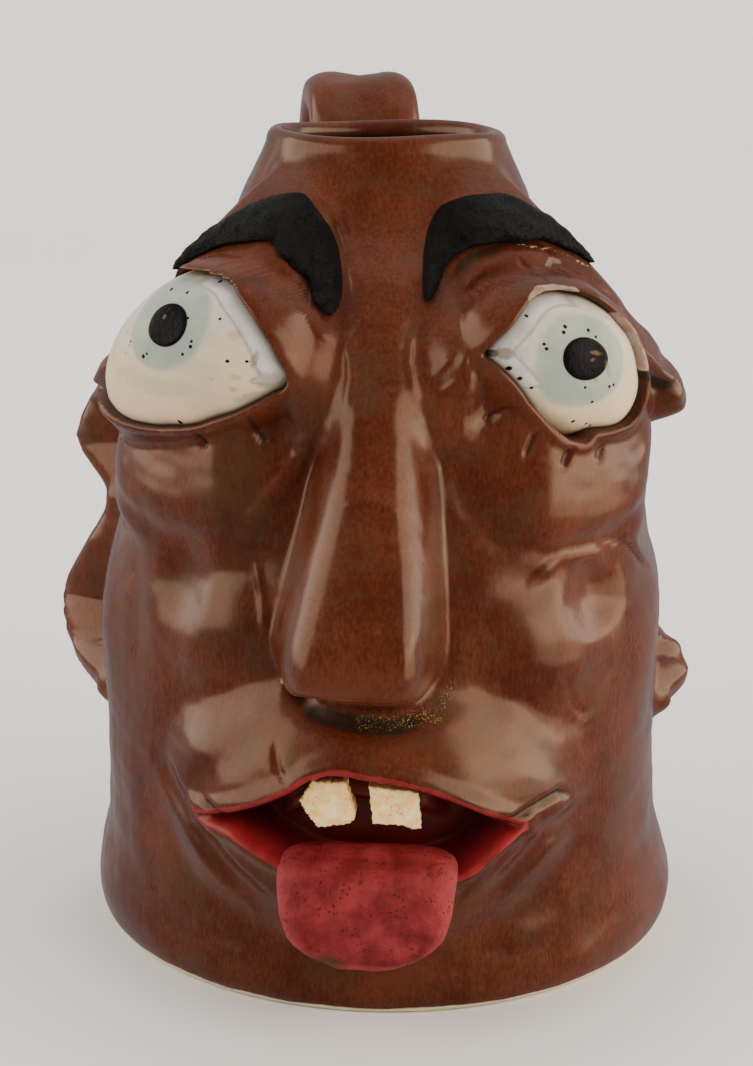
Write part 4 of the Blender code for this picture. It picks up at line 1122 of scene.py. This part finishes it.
def brown_glaze():
    """Tone in patches and streaks; then pooled glaze and painted shade, slips and paint over it; bare clay at
    the foot.
    """
    f = Finish("brown glaze, streaked")
    streaks = f.clouds(1.0, 4, 0.6, f.stretched((420, 420, 80)))
    patches = f.clouds(45, 3, 0.55)
    fine = f.clouds(1.0, 3, 0.5, f.stretched((1500, 1500, 600)))
    tone = (streaks * 0.22 + patches * 0.78 + (fine - 0.5) * 0.45).step(0.32, 0.72)
    colour = f.mix(tone, DEEP_GLAZE, THIN_GLAZE)

    olive = f.clouds(62, 5, 0.72).step(0.47, 0.66) * (0.35 + fine * 0.5)
    colour = f.mix(olive, colour, OLIVE_GLAZE)

    cut, mouth = f.noted("cut"), f.noted("mouth")
    edge = f.noted("left_edge").most(f.noted("right_edge"))
    # Darker in the cuts and round the eyes: glaze pooled there, deepened by painted shade in the cuts, the
    # nostril, the groove under the nose and the gaps where the lids meet the balls.
    grime_and_shade = (cut.step(0.5, 1.3) * 0.88).most(edge.step(-1.0, 0.2) * 0.85)
    colour = f.mix(grime_and_shade, colour, GRIME_AND_SHADE)
    # Painted shade: the inside of the neck is painted near black.
    unlit = cut.step(1.9, 2.8)
    colour = f.mix(unlit, colour, NECK_SHADE)

    speck = f.grains(620).step(0.18, 0.06) * f.clouds(120).step(0.56, 0.66)
    colour = f.mix(speck * 0.5, colour, SPECK)

    ragged = f.clouds(700, 3)
    smear = (f.noted("smear") + (f.clouds(260, 3) - 0.5) * 0.9).step(0.35, 0.6)
    slip = f.mix(f.clouds(320, 3).step(0.35, 0.65), PALE_SLIP, PALER_SLIP)
    colour = f.mix(smear * 0.7, colour, slip)
    chip = (f.noted("chip") * 0.75 + (ragged - 0.5) * 1.4).step(0.52, 0.66)
    colour = f.mix(chip * 0.9, colour, BARE_CHIP)
    crumb = f.noted("crumb") * f.grains(2100).step(0.46, 0.24)
    crumbs = f.mix(ragged.step(0.4, 0.6), DARK_CRUMB, YELLOW_CRUMB)
    colour = f.mix(crumb.step(0.15, 0.5), colour, crumbs)

    wander = (f.clouds(160, 2) - 0.5) * 1.5
    paint = (mouth + wander).step(-1.5, -1.05)
    red = f.mix(f.clouds(210, 4).step(0.3, 0.75), DEEP_RED, BRIGHT_RED)
    red = f.mix(mouth.step(0.0, 1.8) * 0.92, red, MOUTH_SHADE)
    colour = f.mix(paint, colour, red)

    height = f.node("ShaderNodeSeparateXYZ", {}, {"Vector": f.place}, "Z")
    wavering = height + (f.clouds(95, 3) - 0.5) * 0.0018
    bare = wavering.step(BARE_HEIGHT + 0.0003, BARE_HEIGHT - 0.0003)
    colour = f.mix(bare, colour, f.mix(f.clouds(300, 3), CREAM, PALE_CREAM))

    rough = 0.235 + (streaks - 0.5) * 0.05 + (fine - 0.5) * 0.10 + grime_and_shade * 0.25 + paint * 0.20 + unlit * 0.3
    rough = rough + (bare + crumb + chip + smear * 0.3) * 0.5
    relief = streaks * 0.10 + fine * 0.04 + f.clouds(600, 2) * 0.03 + crumb * 0.8 + chip * 0.5
    return f.done(colour, rough.most(0.07), relief, 0.00022, 0.5, GLAZE_TINT)


brown = brown_glaze()
print(brown.name, "has", len(brown.node_tree.nodes), "nodes")


# %% [markdown]
# ## The painted eyes
# Each ball has its own white glaze, yellower below, with a pale green iris brushed on and small black
# specks flicked over it. All of them are ovals in the eye's own across and up, which the mesh carries, so
# they stay where the painter put them whichever way the ball leans.

# %% White glaze and painted iris
def eye_glaze(name, iris, iris_size, specks, stains, over, yellow_below):
    """Iris, specks and stains lie at distances in the eye's own across and up, in millimetres."""
    f = Finish(name)
    across, rise, edge, pupil, second = (f.noted(n) for n in ("across", "rise", "edge", "pupil", "second"))
    wobble = (f.clouds(170, 3) - 0.5) * 1.6
    low = (rise + (f.clouds(60, 2) - 0.5) * 9).step(yellow_below + 6, yellow_below - 5)
    colour = f.mix(low, (0.545, 0.51, 0.43), (0.63, 0.505, 0.33))
    colour = f.mix(f.clouds(75, 4).step(0.48, 0.75) * 0.5, colour, (0.43, 0.355, 0.30))

    ragged = wobble * 0.25 + (f.clouds(800, 3) - 0.5) * 1.3

    def stained(colour, rows):
        for x, y, wide, tall, turn, strength, tint in rows:
            far = f.oval(across, rise, (x, y), (wide, tall), turn) + ragged
            colour = f.mix(far.step(1.25, 0.55) * strength, colour, tint)
        return colour

    colour = stained(colour, stains)
    ring = f.oval(across, rise, iris, iris_size) + wobble * 0.05
    iris_tone = f.mix(f.clouds(140, 3).step(0.3, 0.7), (0.285, 0.335, 0.290), (0.360, 0.400, 0.340))
    colour = f.mix(ring.step(1.06, 0.90), colour, iris_tone)
    ochre = f.grains(230).step(0.14, 0.05) * f.clouds(70).step(0.5, 0.62)
    colour = f.mix(ochre * 0.7, colour, (0.33, 0.19, 0.05))
    layer = f.mix(f.clouds(130, 3).step(0.35, 0.7), (0.55, 0.56, 0.56), (0.42, 0.39, 0.38))
    colour = f.mix(second * 0.85, colour, layer)
    colour = f.mix(second * (1 - second) * 2.4, colour, (0.24, 0.185, 0.15))
    # Painted shade: two bands darken the white towards the lid's edge, where the ball goes in under the lid.
    colour = f.mix((edge + wobble * 0.8).step(2.0, 0.2) * 0.55, colour, (0.40, 0.33, 0.27))
    colour = f.mix((edge + wobble * 0.2).step(0.75, -0.2) * 0.9, colour, (0.030, 0.015, 0.010))
    dots = f.number(0.0)
    for sx, sy, size in specks:
        dots = dots.most(f.oval(across, rise, (sx, sy), (size, size)).step(1.0, 0.6))
    dots = dots.most(pupil.step(1.03, 0.97))
    colour = f.mix(dots, colour, (0.0035, 0.0035, 0.0040))
    colour = stained(colour, over)
    rough = 0.34 + f.clouds(300, 2) * 0.12 + dots * 0.05
    relief = f.clouds(480, 3) * 0.5 + f.clouds(90, 2) * 0.5 + dots * f.clouds(900, 2) * 0.6
    return f.done(colour, rough, relief, 0.0003, 0.10)


# %% [markdown]
# ## The bare clays
# Brows, tongue and teeth are unglazed or thinly coated. Each could have a finish of its own, but their clay
# is alike in kind: two tones in clouds, small pits, and a broad dull sheen. So one recipe serves all three,
# and only the numbers differ.

# %% Black, red and ivory clays
def rough_clay(name, dark, light, size, roughness, depth, pits, gloss, stain=None, noted=None):
    """Unglazed clay: two tones in clouds, pits where scattered points are close, and one stain."""
    f = Finish(name)
    clouds = f.clouds(size, 4, 0.6)
    colour = f.mix(clouds.step(0.3, 0.72), dark, light)
    holes = f.grains(pits).step(0.30, 0.10) * f.clouds(pits * 0.3).step(0.45, 0.6)
    # Painted shade: the pits are painted darker as well as sunk.
    colour = f.mix(holes * 0.5, colour, tuple(0.35 * c for c in dark))
    if noted:
        paler = tuple(min(1.35 * c + 0.02, 1) for c in light)
        colour = f.mix(f.noted(noted).step(0.72, 0.98) * 0.4, colour, paler)
    if stain:
        place, reach, tint = stain
        near = (f.away(place) + (f.clouds(160) - 0.5) * 0.006).step(reach, reach * 0.3)
        colour = f.mix(near * 0.6, colour, tint)
    rough = roughness + (clouds - 0.5) * 0.15
    relief = f.clouds(size * 5, 5, 0.65) - holes * 0.9
    return f.done(colour, rough, relief, depth, gloss)


black = rough_clay("black brow clay", (0.0010, 0.0012, 0.0013), (0.0034, 0.0040, 0.0042),
                   260, 0.32, 0.0009, 900, 0.16)
red = rough_clay("red tongue clay", (0.128, 0.0062, 0.0088), (0.262, 0.026, 0.030),
                 170, 0.50, 0.0006, 900, 0.2,
                 ((-0.0128, -0.0875, 0.0185), 0.0060, (0.060, 0.030, 0.010)), "rim")
ivory = rough_clay("ivory tooth clay", (0.95, 0.55, 0.17), (1.0, 0.83, 0.44), 330, 0.48, 0.0003, 1300, 0.15)
print("bare clays:", black.name, "/", red.name, "/", ivory.name)

# %% [markdown]
# ## Where the eyes' paint lies
# Specks are (across, up, radius). Stains, and the marks over them, are (across, up, half width, half
# height, turn, strength, colour), all in millimetres and degrees.

# %% Specks and stains
OCHRE, GREY, PINKISH = (0.40, 0.23, 0.07), (0.27, 0.22, 0.18), (0.44, 0.37, 0.33)
LEFT_SPECKS = [(0.9, 14.1, 0.42), (5.3, 13.9, 0.40), (-5.9, 2.3, 0.38), (-0.5, -0.2, 0.60),
               (0.5, 0.5, 0.35), (10.8, 4.4, 0.40), (10.8, 3.3, 0.50), (9.3, 1.5, 0.42), (18.1, 1.1, 0.45),
               (21.2, 1.4, 0.38), (5.0, -13.8, 0.60), (9.5, 16.8, 0.38), (8.5, 9.0, 0.40),
               (14.9, 9.6, 0.35)]
LEFT_STAINS = [(17.5, 1.0, 6.5, 6.5, 0, 0.55, (0.64, 0.52, 0.33)), (4, -6.2, 10, 1.9, 4, 0.55, PINKISH),
               (-4, -4.6, 7, 1.5, 0, 0.45, PINKISH), (13, -1.2, 5, 2.4, -12, 0.4, PINKISH),
               (12.5, 6.0, 3.0, 2.2, -30, 0.3, PINKISH), (18.5, 6.6, 1.5, 1.0, 0, 0.35, OCHRE),
               (19.3, -2.2, 0.9, 0.8, 0, 0.4, OCHRE), (18.5, -4.7, 0.7, 0.6, 0, 0.6, OCHRE)]
LEFT_OVER = [(22.2, 1.8, 0.45, 2.3, -6, 0.5, (0.14, 0.050, 0.030)), (23.9, -2.7, 1.8, 2.6, 0, 0.6, GREY),
             (20.5, -6.2, 3.5, 0.7, 25, 0.5, GREY), (3.2, 8.6, 0.35, 0.5, 0, 0.8, (0.10, 0.10, 0.10))]
RIGHT_SPECKS = [(-10.4, 9.2, 0.52), (-11.1, 8.1, 0.50), (-5.3, 8.1, 0.48), (-3.9, 6.6, 0.38),
                (-15.5, 6.0, 0.40), (-15.2, 5.0, 0.46), (-6.9, -3.9, 0.40), (-4.2, -7.4, 0.38),
                (-0.9, -4.3, 0.42), (0.1, -4.0, 0.36), (-6.2, -11.6, 0.42), (-2.6, -12.7, 0.34),
                (-1.2, -13.3, 0.34), (-23.3, 4.4, 0.95), (-17.2, -3.2, 0.40), (-16.7, 11.7, 0.38),
                (-21.2, 1.2, 0.60), (-19.4, -1.0, 0.50)]
RIGHT_STAINS = [(-16.5, 9.5, 4.5, 5.0, 0, 0.5, (0.54, 0.51, 0.46)), (-20.5, 4.0, 2.6, 2.2, 0, 0.5, PINKISH),
                (5.2, 3.5, 2.0, 8.0, 12, 0.6, (0.66, 0.52, 0.31)), (-2, 14.0, 7.0, 1.2, -14, 0.45, PINKISH),
                (-9.5, -6.5, 6.0, 4.0, -40, 0.5, (0.68, 0.54, 0.34))]
RIGHT_OVER = [(-4.7, 3.3, 1.5, 0.55, -12, 0.9, (0.13, 0.085, 0.035)),
              (-5.6, 2.0, 0.7, 0.4, 20, 0.8, (0.10, 0.07, 0.04)),
              (-1.7, -0.6, 0.8, 2.0, 20, 0.45, (0.24, 0.18, 0.07)),
              (-21.9, 4.3, 1.5, 1.4, 0, 0.75, (0.16, 0.12, 0.085)),
              (-4.5, -2.6, 0.6, 0.5, 0, 0.6, (0.30, 0.20, 0.05))]

white_left = eye_glaze("white glaze, left eye", (3.2, 7.2), (10.3, 9.9),
                       LEFT_SPECKS, LEFT_STAINS, LEFT_OVER, yellow_below=-1)
white_right = eye_glaze("white glaze, right eye", (-7.1, 1.7), (10.6, 10.1),
                        RIGHT_SPECKS, RIGHT_STAINS, RIGHT_OVER, yellow_below=-4)
print(len(LEFT_SPECKS), "and", len(RIGHT_SPECKS), "specks")

# %% [markdown]
# ## Riding on the frame
# The jug doesn't move, so every piece rides on its one body, takes its finish and hides the solid it stands
# for.
# Each row also holds a slot name, which nothing here reads.

# %% Every piece to its body, node and finish
PIECES = (
    (body, "jug_body", "brown_glaze", brown),
    (left_ball, "eyeball_left", "white_glaze", white_left),
    (right_ball, "eyeball_right", "white_glaze", white_right),
    (left_brow, "eyebrow_left", "black_clay", black),
    (right_brow, "eyebrow_right", "black_clay", black),
    (tongue_piece, "tongue", "red_clay", red),
    (left_tooth, "tooth_left", "ivory_clay", ivory),
    (right_tooth, "tooth_right", "ivory_clay", ivory),
)
for piece, node, slot, material in PIECES:
    piece.data.materials.clear()
    piece.data.materials.append(material)
    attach(piece, "root")
    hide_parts(node)
print(len(PIECES), "pieces,", sum(triangles(p[0]) for p in PIECES), "triangles")

# %% [markdown]
# ## The floor
# The jug stands on a plain pale sheet that sweeps up behind it, so no horizon cuts the picture. A flat
# plane with a wall would show its corner. The camera sees the sheet and the jug throws its soft shadow on
# it, but the glaze doesn't mirror it, because a bright sheet on all sides would turn the brown flanks grey.

# %% Floor
def stage_floor():
    """A flat sheet that sweeps up behind in a quarter circle: height is 0, then r - r cos of the angle."""
    flat = [(y, 0.0) for y in np.linspace(-4, 1.1, 12)]
    sweep = [(1.1 + 0.5 * math.sin(t), 0.5 - 0.5 * math.cos(t)) for t in np.linspace(0.15, math.pi / 2, 12)]
    profile = np.array(flat + sweep + [(1.6, 2.5)])
    xs = np.linspace(-4, 4, 9)
    points = np.array([[(x, y, z) for x in xs] for y, z in profile])
    index = np.arange(len(profile) * len(xs)).reshape(len(profile), len(xs))
    quads = np.stack([index[:-1, :-1], index[:-1, 1:], index[1:, 1:], index[1:, :-1]], -1).reshape(-1, 4)
    piece = mesh_from("floor", points.reshape(-1, 3), [quads])
    f = Finish("pale floor")
    paint = f.mix(f.clouds(6), (0.79, 0.78, 0.77), (0.83, 0.82, 0.81))
    piece.data.materials.append(f.done(paint, f.clouds(9) * 0.1 + 0.7))
    piece.visible_glossy = False    # the glaze mirrors the darker room, not the sheet
    return piece


stage_floor()


# %% [markdown]
# ## The lights
# A wide lamp stands on each side, and its reflections are the glaze's broad tan sheens. Bare bulbs would
# put hard spots on the nose and lips, so the two large windows and the lamp overhead only brighten and
# aren't mirrored. A last lamp is aimed at the sheet. The lamps are rows of a table, because they differ
# only in numbers.

# %% Lights
LIGHTS = (    # name, place, what it aims at, width and height, watts, colour, whether the glaze mirrors it
    ("right window", (0.90, -0.80, 1.00), (0, 0, 0.12), (0.90, 0.70), 7.5, (1.0, 0.95, 0.88), False),
    ("left window", (-0.90, -0.75, 1.00), (0, 0, 0.12), (0.90, 0.70), 6, (1.0, 0.98, 0.95), False),
    ("overhead", (0.0, 0.45, 1.25), (0, 0.1, 0.0), (1.2, 0.8), 11, (1.0, 1.0, 1.0), False),
    ("overhead sheen", (0.0, 0.45, 1.25), (0, 0.1, 0.0), (1.0, 0.6), 4.5, (1.0, 0.95, 0.92), True),
    ("left side", (-1.10, -0.10, 0.50), (0, 0, 0.10), (1.8, 1.0), 16, (1.0, 0.88, 0.74), True),
    ("right side", (1.10, -0.15, 0.50), (0, 0, 0.08), (1.9, 1.0), 20, (1.0, 0.87, 0.72), True),
    ("right card", (0.38, -0.18, 0.070), (0, -0.02, 0.085), (0.40, 0.22), 0.60, (1.0, 0.80, 0.60), True),
    ("sweep", (0.0, 0.75, 0.95), (0, 1.5, 0.45), (1.8, 0.4), 9, (1.0, 1.0, 1.0), True),
)
for name, spot_at, target, size, watts, tint, mirrored in LIGHTS:
    data = bpy.data.lights.new(name, "AREA")
    data.shape = "RECTANGLE"
    data.size, data.size_y = size
    data.energy = watts
    data.color = tint
    lamp = bpy.data.objects.new(name, data)
    bpy.context.scene.collection.objects.link(lamp)
    lamp.location = spot_at
    lamp.rotation_euler = (Vector(spot_at) - Vector(target)).to_track_quat("Z", "Y").to_euler()
    lamp.visible_camera = False
    lamp.visible_glossy = mirrored
print(len(LIGHTS), "lamps,", sum(row[4] for row in LIGHTS), "watts")

# %% [markdown]
# ## The room
# A glossy pot shows the room it stands in. This room is brighter behind the jug than in front, so the front
# keeps its depth of colour. The strength is a ramp over the direction's Y, from one end of the room to the
# other.

# %% The room's own light
DARKEST, BRIGHTEST = 0.09, 0.42    # strength in front of the jug and behind it
world = bpy.data.worlds.new("room")
world.use_nodes = True
room = world.node_tree
direction = room.nodes.new("ShaderNodeTexCoord")
parts = room.nodes.new("ShaderNodeSeparateXYZ")
fall = room.nodes.new("ShaderNodeMapRange")
for socket, value in zip(("From Min", "From Max", "To Min", "To Max"), (-0.85, 0.35, DARKEST, BRIGHTEST)):
    fall.inputs[socket].default_value = value
room.links.new(direction.outputs["Generated"], parts.inputs["Vector"])
room.links.new(parts.outputs["Y"], fall.inputs["Value"])
room.links.new(fall.outputs["Result"], room.nodes["Background"].inputs["Strength"])
room.nodes["Background"].inputs["Color"].default_value = (0.96, 0.97, 1.0, 1)
bpy.context.scene.world = world
